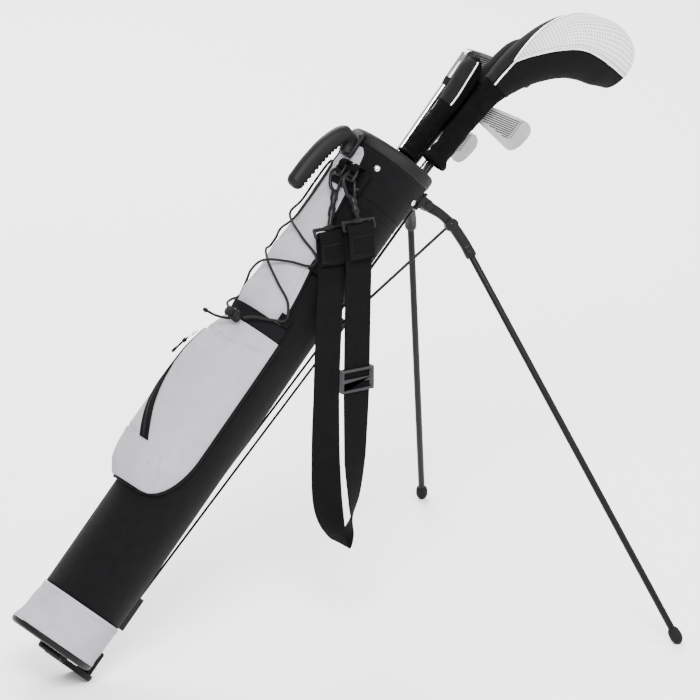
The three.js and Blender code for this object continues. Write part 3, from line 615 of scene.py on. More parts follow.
def boot():
    def ring(z, grow, r, puff):
        wide = table([(0.6, 1), (24, 0.4), (BOOT_TOP, 0)], z)
        points = []
        for t in turns_of(110):
            p = base_point(t, grow, wide, r)
            fold = puff * (1.3 * round_ripple(t, 2.2, z / 26) + 0.3 * round_ripple(t, 6, z / 60))
            hem = puff * 0.5 * (smooth(BOOT_TOP - 8, BOOT_TOP - 7, z) + smooth(7, 6, z))
            points.append(p * (1 + (fold + hem) / p.length) + Vector((0, 0, z)))
        return points

    rings = [ring(lerp(0.6, BOOT_TOP, i / 26), 0, 61.4, 1) for i in range(27)]
    rings += [ring(z, -2.2, 59.4, 0) for z in (BOOT_TOP, 0.6)]
    build("boot", rings, GREY_FABRIC, "bag", loop=True, replaces=["boot_band"])
    band = [on_tube(a, 62.35, BOOT_TOP - 6) for a in range(0, 361, 3)]
    stitches("boot_stitch", [band], "bag", THREAD_GREY)
    seam = [on_tube(196, lerp(73, 62.2, (i / 12) ** 0.8), lerp(3, BOOT_TOP - 1, i / 12)) for i in range(13)]
    build("boot_seam", tube_rings(seam, 0.7, 8, Vector((1, 0, 0))), GREY_FABRIC, "bag")


def collar():
    ribs = 128

    def rim_ring(r, z, depth):
        return round_ring(lambda t: r - depth * (0.5 + 0.5 * math.cos(ribs * t)) ** 3, z, ribs * 4)

    rings = [rim_ring(*row) for row in (
        (62.0, 811, 0), (65.4, 811.5, 0), (66.0, 813.5, 0.1), (66.4, 815, 0.9), (66.5, 824, 0.9),
        (65.9, 827.5, 0.9), (64.4, 829.6, 0.8), (62.4, 830, 0.5), (58.8, 829.9, 0), (56.4, 828.5, 0),
        (55.8, 826, 0), (55.8, 813, 0), (57.8, 812, 0))]
    build("collar_rim", rings, PLASTIC, "bag", loop=True, replaces=["collar"])

    def cover(z, extra=0.0):
        base = table([(748, 62.2), (776, 63.9), (788, 64.7), (812, 64.9)], z) + extra
        return round_ring(lambda t: base + 0.35 * round_ripple(t, 2, z / 30), z, 120)

    rings = [cover(748 + 4 * i) for i in range(17)] + [cover(812, -1.2), cover(748, -0.6)]
    build("collar_cover", rings, BLACK_FABRIC, "bag", loop=True)
    stitches("collar_stitch", [[on_tube(a, 65.2, 808.5) for a in range(0, 361, 3)]], "bag", THREAD_BLACK)
    profile = [(0, 4.6), (0.35, 4.6), (0.6, 4.2), (0.85, 2.8), (0.97, 1.4), (1.0, 0.3)]
    for index, (z, angle) in enumerate(((792, 47), (786, 122), (792, -47))):
        dome = rod_rings(on_tube(angle, 64.4, z), on_tube(angle, 67.6, z), profile, 24)
        build(f"rivet_{index}", dome, SILVER, "bag")


def carry_handle():
    steps = 168
    line = catmull([(-72, 0, 790), (-77, 0, 806), (-90, 0, 806), (-102, 0, 782), (-108, 0, 750),
                    (-111, 0, 714), (-112, 0, 704)], steps)
    halves = [(0, 8.5), (0.14, 10.5), (0.28, 12.5), (0.43, 14), (0.57, 15), (0.72, 15), (0.86, 13.5),
              (0.96, 10.5), (1, 6.5)]
    rib_from, rib_to, ribs = 0.10, 0.88, 22

    def section(i):
        f = i / steps
        a = table(halves, f)
        b = min(a, 13) * 0.98
        groove = 0.0
        if rib_from < f < rib_to:
            turn = 2 * math.pi * ribs * (f - rib_from) / (rib_to - rib_from)
            groove = 2.4 * smooth(0.25, 0.6, 0.5 + 0.5 * math.cos(turn))
        points = []
        for t in turns_of(48):
            inside = groove * smooth(0.2, 0.5, math.cos(t))
            flat = 1 - 0.12 * smooth(0.5, 0.9, math.cos(t))
            points.append(((a * flat - inside) * math.cos(t), (b - inside * 0.2) * math.sin(t)))
        return points

    build("handle_grip", sweep(line, section, Vector((1, 0, 0.3))), HANDLE, "bag",
          replaces=["carry_handle"])
    plate = block(-73, -66.6, -15, 15, 784, 824, 3)
    root = rod_rings(Vector((-67, 0, 786)), Vector((-74, 0, 803)), [(0, 8), (0.3, 12.5), (1, 9)], 32)
    join_shells("handle_root", [plate, root], HANDLE, "bag")
    for label, s in (("near", -1), ("far", 1)):
        screw(f"handle_screw_{label}", Vector((-73, s * 11, 818)), Vector((-1, 0, 0)), "bag")


def screw(name, at, out, body, r=3.0, place=BAG):
    """Pan head with a cross slot; the slot is two dark rods standing on the head, painted shade in place of a
    cut.
    """
    head = rod_rings(at - out * 0.6, at + out * 1.5, [(0, r), (0.45, r), (0.8, r * 0.8), (1, r * 0.5)], 24)
    side = out.cross(Vector((0.3, 0.5, 0.8))).normalized()
    top = at + out * 1.46
    slot_shade_rods = [rod_rings(top - d * r * 0.5, top + d * r * 0.5, [(0, 0.35), (0.5, 0.38), (1, 0.35)], 6)
             for d in (side, out.cross(side))]
    join_shells(name, [head], GUNMETAL, body, place=place)
    join_shells(name + "_slot", slot_shade_rods, GROOVE_SHADE, body, place=place)


# ---- pocket and panel
POCKET_Z0, POCKET_Z1 = 238, 512
FULLNESS = [(0, 0.25), (0.04, 0.68), (0.1, 0.92), (0.2, 1), (0.38, 1), (0.6, 0.92), (0.74, 0.84),
            (0.88, 0.52), (0.96, 0.2), (1, 0.05)]


def pocket_edge(v):
    half = lerp(36, 72, math.sqrt(1 - (1 - clamp(v / 0.3)) ** 2))
    return -half, half


def pocket_r(angle, z):
    """Radius of the filled pocket, without its seams."""
    v = clamp((z - POCKET_Z0) / (POCKET_Z1 - POCKET_Z0))
    a0, a1 = pocket_edge(v)
    u = clamp((angle - a0) / (a1 - a0))
    soft = sum(table(FULLNESS, clamp(v + d)) for d in (-0.035, -0.0175, 0, 0.0175, 0.035)) / 5
    return 65 + 28.5 * max(math.sin(math.pi * u), 0) ** 0.55 * soft


def zip_at(f):
    """Angle and height at share f of the zip's line."""
    return lerp(14, -36, math.sin(math.pi / 2 * f)), lerp(300, 478, f)


ZIP_LINE = [zip_at(i / 24) for i in range(25)]
ZIP_PARKED = 0.93
POCKET_SEAMS = [
    [(-34, 478), (-3, 480), (20, 478), (40, 486), (64, 494)],
    [(14, 300), (-8, 303), (-30, 306), (-66, 318)],
    [(46, 262), (40, 275), (36, 290)],
    [(-40, 478), (-30, 430), (-18, 380), (0, 330), (8, 308)],
]


def seam_distance(angle, z, line):
    """Millimetres over the pocket's face from a place to a line of (angle, height)."""
    best = 1e9
    for (a0, z0), (a1, z1) in zip(line, line[1:]):
        ax, az = math.radians(a1 - a0) * 80, z1 - z0
        px, pz = math.radians(angle - a0) * 80, z - z0
        t = clamp((px * ax + pz * az) / (ax * ax + az * az))
        best = min(best, math.hypot(px - ax * t, pz - az * t))
    return best


def pocket():
    def outer(u, v):
        angle, z = lerp(*pocket_edge(v), u), lerp(POCKET_Z0, POCKET_Z1, v)
        inside = smooth(0, 0.12, u) * smooth(1, 0.88, u) * smooth(0, 0.06, v) * smooth(1, 0.93, v)
        inside *= 1 - bell(seam_distance(angle, z, ZIP_LINE), 0, 11)
        fold = 2.6 * ripple(angle / 30, z / 60) + 1.3 * ripple(angle / 13, z / 36, 4)
        pucker = 0.6 * ripple(angle / 5, z / 13, 7)
        near_seam = 0.0
        for line in POCKET_SEAMS:
            d = seam_distance(angle, z, line)
            near_seam -= 2.0 * bell(d, 0, 1.5) - 0.5 * bell(d, 6, 4)
            pucker *= 1 + 1.2 * bell(d, 0, 9)
        drag = 0.8 * bell(v, 0.9, 0.07) * math.sin(angle / 7 + z / 9)
        return max(pocket_r(angle, z) + inside * (fold + pucker + near_seam + drag), 64.2)

    def side(k, away):
        return [on_tube(pocket_edge(i / 40)[k] + away, 65.2, lerp(POCKET_Z0, POCKET_Z1, i / 40))
                for i in range(41)]

    build("pocket", patch_rings(POCKET_Z0, POCKET_Z1, 150, 120, pocket_edge, outer, 62.9), GREY_FABRIC,
          "bag", replaces=["ball_pocket"])
    bottom = [on_tube(lerp(-34, 34, i / 24), 64.9, POCKET_Z0 - 1.2) for i in range(25)]
    edge = side(0, -1.2)[::-1] + bottom + side(1, 1.2)
    build("pocket_piping", tube_rings(edge, 2.6, 14, Vector((1, 0, 0.2))), PIPING, "bag")
    rows = []
    for line in POCKET_SEAMS[:2]:
        places = [(lerp(a0, a1, t), lerp(z0, z1, t) - 3.4) for (a0, z0), (a1, z1) in zip(line, line[1:])
                  for t in (0, 0.25, 0.5, 0.75)]
        rows.append([on_tube(a, pocket_r(a, z) + 0.7, z) for a, z in places])
    stitches("pocket_stitch", rows, "bag", THREAD_GREY, r=0.28)
    tack = [on_tube(a, pocket_r(30, 276) + 1.2, z) for a, z in ((28, 277), (33, 274))]
    stitches("pocket_bartack", [tack], "bag", THREAD_PALE, r=0.5, pitch=1.4)


def zip_track():
    rings = []
    for i in range(91):
        angle, z = zip_at(i / 90)
        flare = 3.0 * math.sin(math.pi * i / 90) ** 0.7
        over, under = [], []
        for j in range(9):
            at = angle + lerp(-5.0, 5.0 + flare, j / 8)
            r = pocket_r(at, z) + 1.4
            over.append(on_tube(at, r + 1.0 - 0.7 * bell(j, 4, 1.2), z))
            under.append(on_tube(at, r - 0.4, z))
        rings.append(over + under[::-1])
    build("zip_tape_weave", rings, WEB, "bag", replaces=["zip_tape"])
    teeth = []
    for k in range(118):
        angle, z = zip_at((k + 0.5) / 118)
        middle = angle + (0.55 if k % 2 else -0.55)
        r = pocket_r(angle, z) + 2.15
        teeth.append(rod_rings(on_tube(middle - 0.75, r, z), on_tube(middle + 0.75, r, z),
                               [(0, 0.4), (0.5, 0.62), (1, 0.4)], 6))
    join_shells("zip_teeth", teeth, PLASTIC, "bag")


def zip_slider():
    angle, z = zip_at(ZIP_PARKED)
    r = pocket_r(angle, z - 6) + 4.2
    out = on_tube(angle, 1, 0)
    across = out.cross(Vector((0, 0, 1))).normalized()
    at = on_tube(angle, r, z)
    down = (Vector((0, 0, -1)) + out * 0.24 - across * 0.12).normalized()

    def p(a, b, c):
        """across, down the zip, outward"""
        return at + across * a + down * b + out * c

    def plate(lift):
        outline = [(-2.2, 7), (2.2, 7), (3.2, 3), (4.4, -3), (4.2, -6.6), (1.2, -6.8), (0, -4.6),
                   (-1.2, -6.8), (-4.2, -6.6), (-4.4, -3), (-3.2, 3)]
        return [[p(x * k, y * k, lift + h) for x, y in outline] for h, k in
                ((0, 0.92), (0.4, 1), (1.0, 1), (1.4, 0.9))]

    bridge = tube_rings(catmull([p(0, -4.6, 1.2), p(0, -3.4, 3.4), p(0, 0.5, 4.2), p(0, 3.6, 3.0),
                                 p(0, 4.4, 1.2)], 24), 0.9, 10, across)
    join_shells("zip_slider_body", [plate(0), bridge], SILVER, "zip",
                replaces=["zip_slider"])
    tab = [p(0, 0.6, 3.0), p(2.4, 2.4, 2.9), p(2.9, 7, 2.7), p(2.6, 12.5, 2.6), p(0, 14.6, 2.6),
           p(-2.6, 12.5, 2.6), p(-2.9, 7, 2.7), p(-2.4, 2.4, 2.9), p(0, 0.6, 3.0)]
    join_shells("zip_pull_ring", [tube_rings(catmull(tab, 48), 0.75, 10, out)], SILVER, "zip")
    loop = [p(0.6, 11.5, 3.0), p(2.6, 17, 3.6), p(6.6, 25, 3.4), p(8.4, 33, 3.0), p(5.5, 39, 2.8),
            p(0, 41, 2.8), p(-5.5, 38.5, 2.8), p(-7.4, 32, 3.0), p(-4.2, 24, 3.6), p(-1.6, 17, 3.8),
            p(-0.4, 11.5, 3.0)]
    curve = catmull(loop, 90)
    join_shells("zip_pull_cord", [tube_rings(
        curve, lambda i: lerp(1.25, 2.2, smooth(0.32, 0.42, i / 90) * smooth(0.72, 0.62, i / 90)), 12,
        out)], CORD, "zip")
    stopper = rod_rings(p(0, 15.5, 3.3), p(0, 21.5, 3.6), [(0, 2.2), (0.2, 2.9), (0.8, 2.9), (1, 2.2)], 16)
    join_shells("zip_pull_stopper", [stopper], RUBBER, "zip")


PANEL_Z0, PANEL_Z1 = 533, 806


def panel_edge(v):
    z = lerp(PANEL_Z0, PANEL_Z1, v)
    a = table([(533, 62), (592, 56), (634, 50), (700, 38), (774, 29), (800, 24), (806, 18)], z)
    return -a, a


def panel_r(u, v):
    """Radius of the padded panel at share u across and v up."""
    z = lerp(PANEL_Z0, PANEL_Z1, v)
    across = max(math.sin(math.pi * u), 0)
    base = table([(533, 63.6), (545, 64.6), (742, 64.6), (760, 65.0), (806, 65.4)], z)
    puff = (4.4 * bell(z, 563, 20) + 3.4 * bell(z, 628, 24) + 2.4 * bell(z, 692, 26)) * across ** 0.7
    a = lerp(*panel_edge(v), u)
    crease = 1.3 * ripple(a / 16, z / 22, 2) + 0.7 * ripple(a / 6, z / 12, 5)
    inside = smooth(0, 0.15, u) * smooth(1, 0.85, u) * smooth(770, 740, z)
    return base + puff + crease * inside


def panel():
    def height(i):
        return lerp(PANEL_Z0, PANEL_Z1, i / 60)

    build("panel", patch_rings(PANEL_Z0, PANEL_Z1, 110, 70, panel_edge, panel_r,
                               lambda u, v: 62.4 if lerp(PANEL_Z0, PANEL_Z1, v) < 748 else 64.0),
          GREY_FABRIC, "bag", replaces=["upper_panel"])
    for s, label in enumerate(("far", "near")):
        line = [on_tube(panel_edge(i / 60)[s], 64.4 + 0.9 * smooth(748, 770, height(i)), height(i))
                for i in range(61)]
        build(f"panel_piping_{label}", tube_rings(line, 1.7, 12, Vector((1, 0, 0.1))), PIPING, "bag")
    arc = [on_tube(lerp(-20, 20, i / 20), 66.1, 800 - 7 * math.sin(math.pi * i / 20)) for i in range(21)]
    stitches("panel_top_stitch", [arc, [p + Vector((0, 0, -3)) for p in arc]], "bag", THREAD_GREY, r=0.3)
    edges = [[on_tube(lerp(*panel_edge(i / 60), k), panel_r(k, i / 60) + 0.25, height(i))
              for i in range(3, 57)] for k in (0.07, 0.93)]
    stitches("panel_edge_stitch", edges, "bag", THREAD_GREY, r=0.28)


def elastic_band():
    def bulge(u, v, depth):
        return depth * math.sin(math.pi * u) ** 1.4 * v

    def outer(u, v):
        gather = 0.55 * math.sin(u * 2 * math.pi * 30) * (0.4 + 0.6 * v)
        return 64.8 + bulge(u, v, 4.8) + gather + 0.5 * ripple(u * 9, v * 2)

    ends = (-BAND_HALF_ANGLE, BAND_HALF_ANGLE)
    build("elastic", patch_rings(512.8, 534, 14, 240, lambda v: ends, outer,
                                 lambda u, v: 62.3 + bulge(u, v, 3.4)),
          ELASTIC, "bag", replaces=["elastic_band"])
    lip = [on_tube(lerp(*ends, i / 60), outer(i / 60, 1) + 0.1, 534.4) for i in range(61)]
    build("elastic_lip", tube_rings(lip, 0.9, 10, Vector((1, 0, 0.2))), PIPING, "bag")


# ---- lacing
LACE = [
    (20.6, 515, 77), (30, 524, 75.5), (47, 534, 73.2), (60, 545, 72.6), (52, 566, 72.6), (30, 582, 73),
    (2, 600, 73), (-26, 616, 72.8), (-50, 628, 72.6), (-50, 640, 72.6), (-26, 652, 72.6),
    (-8, 672, 72.6), (-6, 700, 72), (-7, 740, 71.4), (-10, 764, 71), (-16, 770, 71), (-22, 764, 71),
    (-24, 735, 71.4), (-22, 700, 72), (-16, 676, 77.5), (20, 655, 73), (50, 640, 72.6),
    (50, 628, 72.6), (26, 616, 72.8), (-2, 600, 77.8), (-30, 582, 73), (-52, 566, 72.6),
    (-60, 545, 72.6), (-47, 534, 73.2), (-20, 522, 75.5), (3.4, 515, 77)]


def lacing():
    line = catmull([on_tube(a, r, z) for a, z, r in LACE], 420)
    piece = build("lace_cord", tube_rings(line, 1.85, 12), CORD, "bag",
                  replaces=["bungee_cord"])
    for label, z, angle in (("low", 544, 60), ("high", 630, 55)):
        for side, s in (("near", 1), ("far", -1)):
            ends = (s * angle - 7.5, s * angle + 7.5)
            rings = patch_rings(z - 8, z + 8, 10, 24, lambda v: ends,
                                lambda u, v: 69.2 + 3.4 * bell(u, 0.3, 0.2), 66.4)
            build(f"tab_{label}_{side}", rings, WEB, "bag",
                  replaces=[f"lace_tab_{label}_{side}"])
            box = [on_tube(s * (angle + d), 69.6, z + h)
                   for d, h in ((1.5, -6), (6, -6), (6, 6), (1.5, 6), (1.5, -6))]
            stitches(f"tab_stitch_{label}_{side}", [box], "bag", THREAD_BLACK, r=0.3, pitch=2.2)


def cord_lock():
    at = on_tube(12, 78, 512)

    def x(d):
        return at + Vector((d, 0, 0))

    shell = rod_rings(x(-9), x(5), [(0, 7.3), (0.06, 8.2), (0.3, 8.2), (0.34, 7.6), (0.45, 7.6),
                                    (0.5, 8.2), (0.93, 8.2), (1, 7)], 36)
    join_shells("lock_shell", [shell], PLASTIC, "bag", replaces=["cord_lock"])
    button = rod_rings(x(-17.2), x(-8), [(0, 5.8), (0.06, 7.2), (0.2, 7.6), (0.32, 7.2), (0.36, 5.6),
                                         (1, 5.6)], 36)
    dimple = rod_rings(x(-17.5), x(-17), [(0, 3.4), (1, 3.8)], 24)
    join_shells("lock_button", [button], PLASTIC, "lock_button",
                replaces=["cord_lock_button"])
    join_shells("lock_button_dimple", [dimple], RUBBER, "lock_button")
    tail = catmull([on_tube(8, 79, 505), on_tube(4, 86, 500.5), on_tube(0, 96, 496.5),
                    on_tube(-3, 107, 495)], 40)
    piece = build("lock_tail", tube_rings(tail, 1.9, 12), CORD, "bag")
    end = tail[-1]
    way = (end - tail[-3]).normalized()
    knot = rod_rings(end - way * 1.5, end + way * 5.5,
                     [(0, 2.0), (0.2, 3.1), (0.5, 3.3), (0.8, 2.6), (1, 1.6)], 18)
    knot_piece = join_shells("lock_tail_knot", [knot], CORD, "bag")


# ---- strap, rings, hooks
def strap():
    y = -76
    line = [
        (404, -84.5, 566), (404, -81.4, 606), (404, -76, 613.6), (404, -70.6, 606), (404, -72.5, 588),
        (403, -75.5, 560), (401, y, 470), (399.4, y, 372), (397, y, 270), (395, y, 205),
        (388, y, 164), (376, y, 146), (364, y, 164), (353, y, 205), (349, y, 270), (350, y, 372),
        (354, y, 470), (362, -69, 540), (367, -57.5, 580), (368, -54.6, 598), (368, -60, 605.6),
        (368, -65.4, 598), (366, -71, 560)]
    turns = [0] * 8 + [14, 40, 72, 90, 108, 140, 166] + [180] * 8
    steps = 396

    def side(i):
        at = i / steps * (len(turns) - 1)
        k = min(int(at), len(turns) - 2)
        t = math.radians(lerp(turns[k], turns[k + 1], at - k))
        return Vector((math.cos(t), math.sin(t), 0))

    half, thick = STRAP_HALF, 0.95
    edge = [(-half + 0.5, -thick), (-half, -thick * 0.4), (-half, thick * 0.4), (-half + 0.5, thick)]
    top = [(lerp(-half + 2, half - 2, k / 8), thick + 0.12 * math.cos(k * math.pi)) for k in range(9)]
    far = [(half - 0.5, thick), (half, thick * 0.4), (half, -thick * 0.4), (half - 0.5, -thick)]
    section = edge + top + far + [(x, -b) for x, b in reversed(top)]
    build("strap_webbing", sweep(catmull(line, steps), section, side), WEB, "strap", WORLD,
          replaces=["strap_web"])
    for label, x, y_face, z0, z1 in (("near", 404, -86.0, 570, 600), ("far", 366.5, -72.4, 565, 590)):
        rows = [[Vector((x + d, y_face, z)) for d in (-18, 18)] for z in (z0, z0 + 3, z1)]
        rows += [[Vector((x + d, y_face, z0)), Vector((x + d, y_face, z1))] for d in (-18, 18)]
        stitches(f"strap_stitch_{label}", rows, "strap", THREAD_BLACK, r=0.35, place=WORLD)


def strap_patch():
    rings = patch_rings(744, 779, 24, 40, lambda v: (2, 48),
                        lambda u, v: 68.3 + 0.3 * ripple(u * 5, v * 5), 66.6)
    build("strap_tab_patch", rings, WEB, "bag", replaces=["strap_tab"])
    up = Vector((0, 0, 1))
    flat = [(-5.2, -0.8), (5.2, -0.8), (5.6, 0), (5.2, 0.8), (-5.2, 0.8), (-5.6, 0)]
    loops = []
    for ring_y in RINGS_Y.values():
        back = BAG.inverted() @ Vector((STRAP_PIVOT[0] + 17.5 * math.sin(LEAN), ring_y,
                                        STRAP_PIVOT[1] + 17.5 * math.cos(LEAN)))
        out = Vector((back.x, back.y, 0)).normalized()
        root = 67.6 - math.hypot(back.x, back.y)
        path = [back + out * d + up * z for d, z in ((root, -9), (1.5, -5), (4.4, 0), (1.5, 5), (root, 9))]
        loops.append(sweep(catmull(path, 30), flat, out.cross(up)))
    join_shells("strap_tab_loops", loops, WEB, "bag")
    frame_line = [on_tube(a, 68.9, z) for a, z in ((5, 748), (45, 748), (45, 775), (5, 775), (5, 748))]
    stitches("strap_tab_stitch", [frame_line], "bag", THREAD_BLACK)


def rings():
    half = [(0, 0), (0, 6), (0.4, 8.6), (3, 9.2), (7, 9), (13.5, 7.5), (17, 4.5)]
    outline = half + [(18, 0)] + [(d, -w) for d, w in reversed(half)]
    for label, y in RINGS_Y.items():
        line = [(STRAP_PIVOT[0] + d * math.sin(LEAN), y + w, STRAP_PIVOT[1] + d * math.cos(LEAN))
                for d, w in outline]
        join_shells(f"ring_{label}", [tube_rings(catmull(line, 84), 1.8, 14, Vector((0.74, 0, -0.66)))],
                    GUNMETAL, "bag", replaces=[f"strap_ring_{label}"], place=WORLD)


def snap_hook(label):
    top = Vector((STRAP_PIVOT[0], RINGS_Y[label], STRAP_PIVOT[1]))
    bar = STRAP_BARS[label]
    down = (bar - top).normalized()
    side = (Vector((1, 0, 0)) - down * down.x).normalized()
    length = (bar - top).length
    face = down.cross(side)

    def at(a, d, c=0.0):
        return top + side * a + down * d + face * c

    shoulder = at(0, length - 11.5)
    shoulder.x = bar.x

    def across(p, a):
        return p + Vector((a, 0, 0))

    eye = catmull([at(1.5, 29), at(-6.8, 21), at(-8.8, 9), at(-6.9, -2.5), at(0, -7.4), at(6.9, -2.5),
                   at(8.6, 6)], 60)
    swivel = rod_rings(at(0, 24), shoulder, [(0, 3.2), (0.08, 5.2), (0.24, 5.6), (0.3, 4.0), (0.42, 3.8),
                                            (0.48, 5.2), (0.66, 5.2), (0.72, 3.6), (1, 3.4)], 28)
    yoke = rod_rings(across(shoulder, -26), across(shoulder, 26), [
        (0, 2.2), (0.02, 2.8), (0.3, 2.6), (0.42, 4.6), (0.58, 4.6), (0.7, 2.6), (0.98, 2.8), (1, 2.2)], 20)
    arms = [rod(across(shoulder, a), across(bar, a), 2.3, 16) for a in (-24.6, 24.6)]
    shells = [tube_rings(eye, lambda i: lerp(2.9, 1.9, i / 60), 16, face), swivel, yoke, *arms,
              rod(across(bar, -26), across(bar, 26), 1.8, 16)]
    join_shells(f"hook_{label}", shells, GUNMETAL, "strap_hooks",
                replaces=[f"snap_hook_{label}"], place=WORLD)
    gate = rod_rings(at(3.2, 26), at(8.4, 4.5), [(0, 1.9), (0.1, 2.3), (0.85, 2.1), (1, 1.5)], 18)
    thumb = rod_rings(at(5.6, 17), at(11.5, 15.5), [(0, 1.4), (0.6, 1.6), (0.8, 2.4), (1, 2.0)], 16)
    join_shells(f"hook_gate_{label}", [gate, thumb], GUNMETAL, "strap_hooks",
                place=WORLD)


# ---- legs and linkage
FOOT_FALL = (BASE.z + math.cos(LEAN) * HINGE_Z - math.sin(LEAN) * (HINGE_R + LEG_REACH)
             * math.cos(LEG_SPREAD) - 11.4) / math.cos(LEAN)
SOCKET = Vector((84, 0, -16.5))
FOOT = Vector((LEG_REACH, 0, -FOOT_FALL))
LEG_DIR = (FOOT - SOCKET).normalized()
LEG_LENGTH = (FOOT - SOCKET).length


def on_leg(d):
    return SOCKET + LEG_DIR * d


def leg(label, side):
    hinge = (HINGE_R * math.cos(LEG_SPREAD), -side * HINGE_R * math.sin(LEG_SPREAD), HINGE_Z)
    place = BAG @ Matrix.Translation(hinge) @ Matrix.Rotation(-side * LEG_SPREAD, 4, "Z")
    body = "leg_" + label
    steps = 90
    line = catmull([(2, 0, 0), (24, 0, 1.5), (45, 0, -1.5), (64, 0, -8), on_leg(-6), on_leg(0), on_leg(12)],
                   steps)

    def section(i):
        f = i / steps
        wide = 8.3 * (1 - 0.12 * bell(f, 0.2, 0.1)) * (1 - 0.2 * smooth(0.97, 1, f))
        panel_in = 0.5 * smooth(0.05, 0.12, f) * smooth(0.75, 0.68, f)
        points = []
        for x, y in circle(40, 1):
            k = (abs(x) ** 3 + abs(y) ** 3) ** (-1 / 3)
            dent = panel_in * smooth(0.85, 0.97, abs(x))
            points.append((x * k * (7.6 - dent), y * k * wide * 0.92))
        return points

    arm = sweep(line, section, Vector((0, 1, 0)))
    eye = rod(Vector((0, -8, 0)), Vector((0, 8, 0)), 7.8, 36, 0.8)
    boss = rod(Vector((BOSS_D, -8.8, -2)), Vector((BOSS_D, 8.8, -2)), 9.4, 40, 1.0)
    cuff = rod_rings(on_leg(2), on_leg(13), [(0, 7.6), (0.15, 8.2), (0.7, 8.0), (0.92, 7.4), (1, 5.4)], 36)
    join_shells(f"elbow_{label}", [arm, eye, boss, cuff], PLASTIC, body,
                replaces=[f"leg_elbow_{label}"], place=place)
    for end, s in (("out", side), ("in", -side)):
        screw(f"elbow_screw_{label}_{end}", Vector((BOSS_D, -s * 8.8, -2)), Vector((0, -s, 0)), body, 4.6,
              place)
    tube = rod_rings(on_leg(-18), on_leg(LEG_LENGTH - 2),
                     [(0, 4.6), (0.001, LEG_TUBE_R), (1, LEG_TUBE_R)], 36)
    join_shells(f"leg_pole_{label}", [tube], TUBE_PAINT, body,
                replaces=[f"leg_tube_{label}"], place=place)
    profile = [(0, 5.6), (0.06, 6.6), (0.2, 8.4), (0.26, 8.0), (0.32, 8.8), (0.5, 9), (0.62, 8.9),
               (0.8, 7.4), (0.92, 4.8), (1, 1.0)]

    def above_floor(p):
        seen = place @ p
        return p if seen.z >= 0 else place.inverted() @ Vector((seen.x, seen.y, 0.0))

    ball = rod_rings(on_leg(LEG_LENGTH - 13), on_leg(LEG_LENGTH + 13), profile, 32)
    ball = [[above_floor(p) for p in ring] for ring in ball]
    join_shells(f"foot_{label}", [ball], RUBBER, body, replaces=[f"foot_tip_{label}"],
                place=place)
    refine(f"hinge_bracket_{label}", PLASTIC, 0.8)
    for end, s in (("a", -1), ("b", 1)):
        cap = rod_rings(Vector((0, s * 12.6, 0)), Vector((0, s * 15, 0)), [(0, 4.2), (0.6, 4.2), (1, 3.0)],
                        24)
        join_shells(f"hinge_rivet_{label}_{end}", [cap], GUNMETAL, "bag", place=place)


def linkage():
    wx, wz = WIRE_FOOT
    y = WIRE_SPREAD

    def wire_x(z):
        return lerp(wx, BLOCK_X + 1, (z - wz) / (560 - wz))

    half = [Vector((wire_x(z), -y + d, z + h)) for z, d, h in (
        (wz, 0, 0), (200, 0, 0), (400, 0, 0), (552, 0, 0), (558, 1.2, 0.8), (560, 3, 0))]
    other = [Vector((p.x, -p.y, p.z)) for p in reversed(half)]
    join_shells("push_wire_bent", [tube_rings(half + other, WIRE_R, 16, Vector((1, 0, 0)))], TUBE_PAINT,
                "slider", replaces=["push_wire"])
    refine("slide_block", PLASTIC, 0.9)
    refine("wire_guide", PLASTIC, 0.7)
    for label, side in (("near", 1), ("far", -1)):
        out = Vector((-math.sin(LEG_SPREAD), -side * math.cos(LEG_SPREAD), 0))
        outward = Vector((math.cos(LEG_SPREAD), -side * math.sin(LEG_SPREAD), 0))
        low_end = Vector((BLOCK_X, 0, BLOCK_Z)) + out * ROD_OUT_LOW
        high_end = outward * (HINGE_R + BOSS_D) - out * ROD_OUT_HIGH
        high_end.z = HINGE_Z - 2
        shells = [rod(low_end, high_end, ROD_R, 20)]
        shells += [rod(p - out * 1.7, p + out * 1.7, r, 28, 0.5) for p, r in ((low_end, 5), (high_end, 4.6))]
        join_shells(f"rod_{label}", shells, TUBE_PAINT, f"rod_{label}",
                    replaces=[f"push_rod_{label}"])
        rivet = rod_rings(low_end + out * 1.6, low_end + out * 3.6, [(0, 3.2), (0.6, 3.2), (1, 2)], 20)
        join_shells(f"rod_rivet_{label}", [rivet], GUNMETAL, "slider")


# ---- clubs
CLUBS = {
    "driver": ((-6, -40, 6), (37, -34, 830), 1008), "fairway": ((-38, 6, 6), (45, 14, 830), 974),
    "hybrid": ((-28, -22, 6), (19, -1, 830), 940), "iron_front": ((0, -12, 6), (49, -6, 830), 944),
    "iron_low": ((-10, 39, 6), (36, 34, 830), 896), "iron_back": ((18, 16, 6), (23, 28, 830), 1002)}
SHAFT_BOTTOM = 16
GRIP_FROM, GRIP_TO = 7, 262
BUTT_R, TIP_R = 6.4, 4.5
FACE_Y = -4.05
# turn in degrees, head length and toe height of each iron
IRON_TURN = {"iron_front": (-30, 92, 48), "iron_low": (0, 90, 48), "iron_back": (10, 88, 44)}


def club_line(name, z):
    foot, rim = (Vector(p) for p in CLUBS[name][:2])
    return foot.lerp(rim, (z - foot.z) / (rim.z - foot.z))


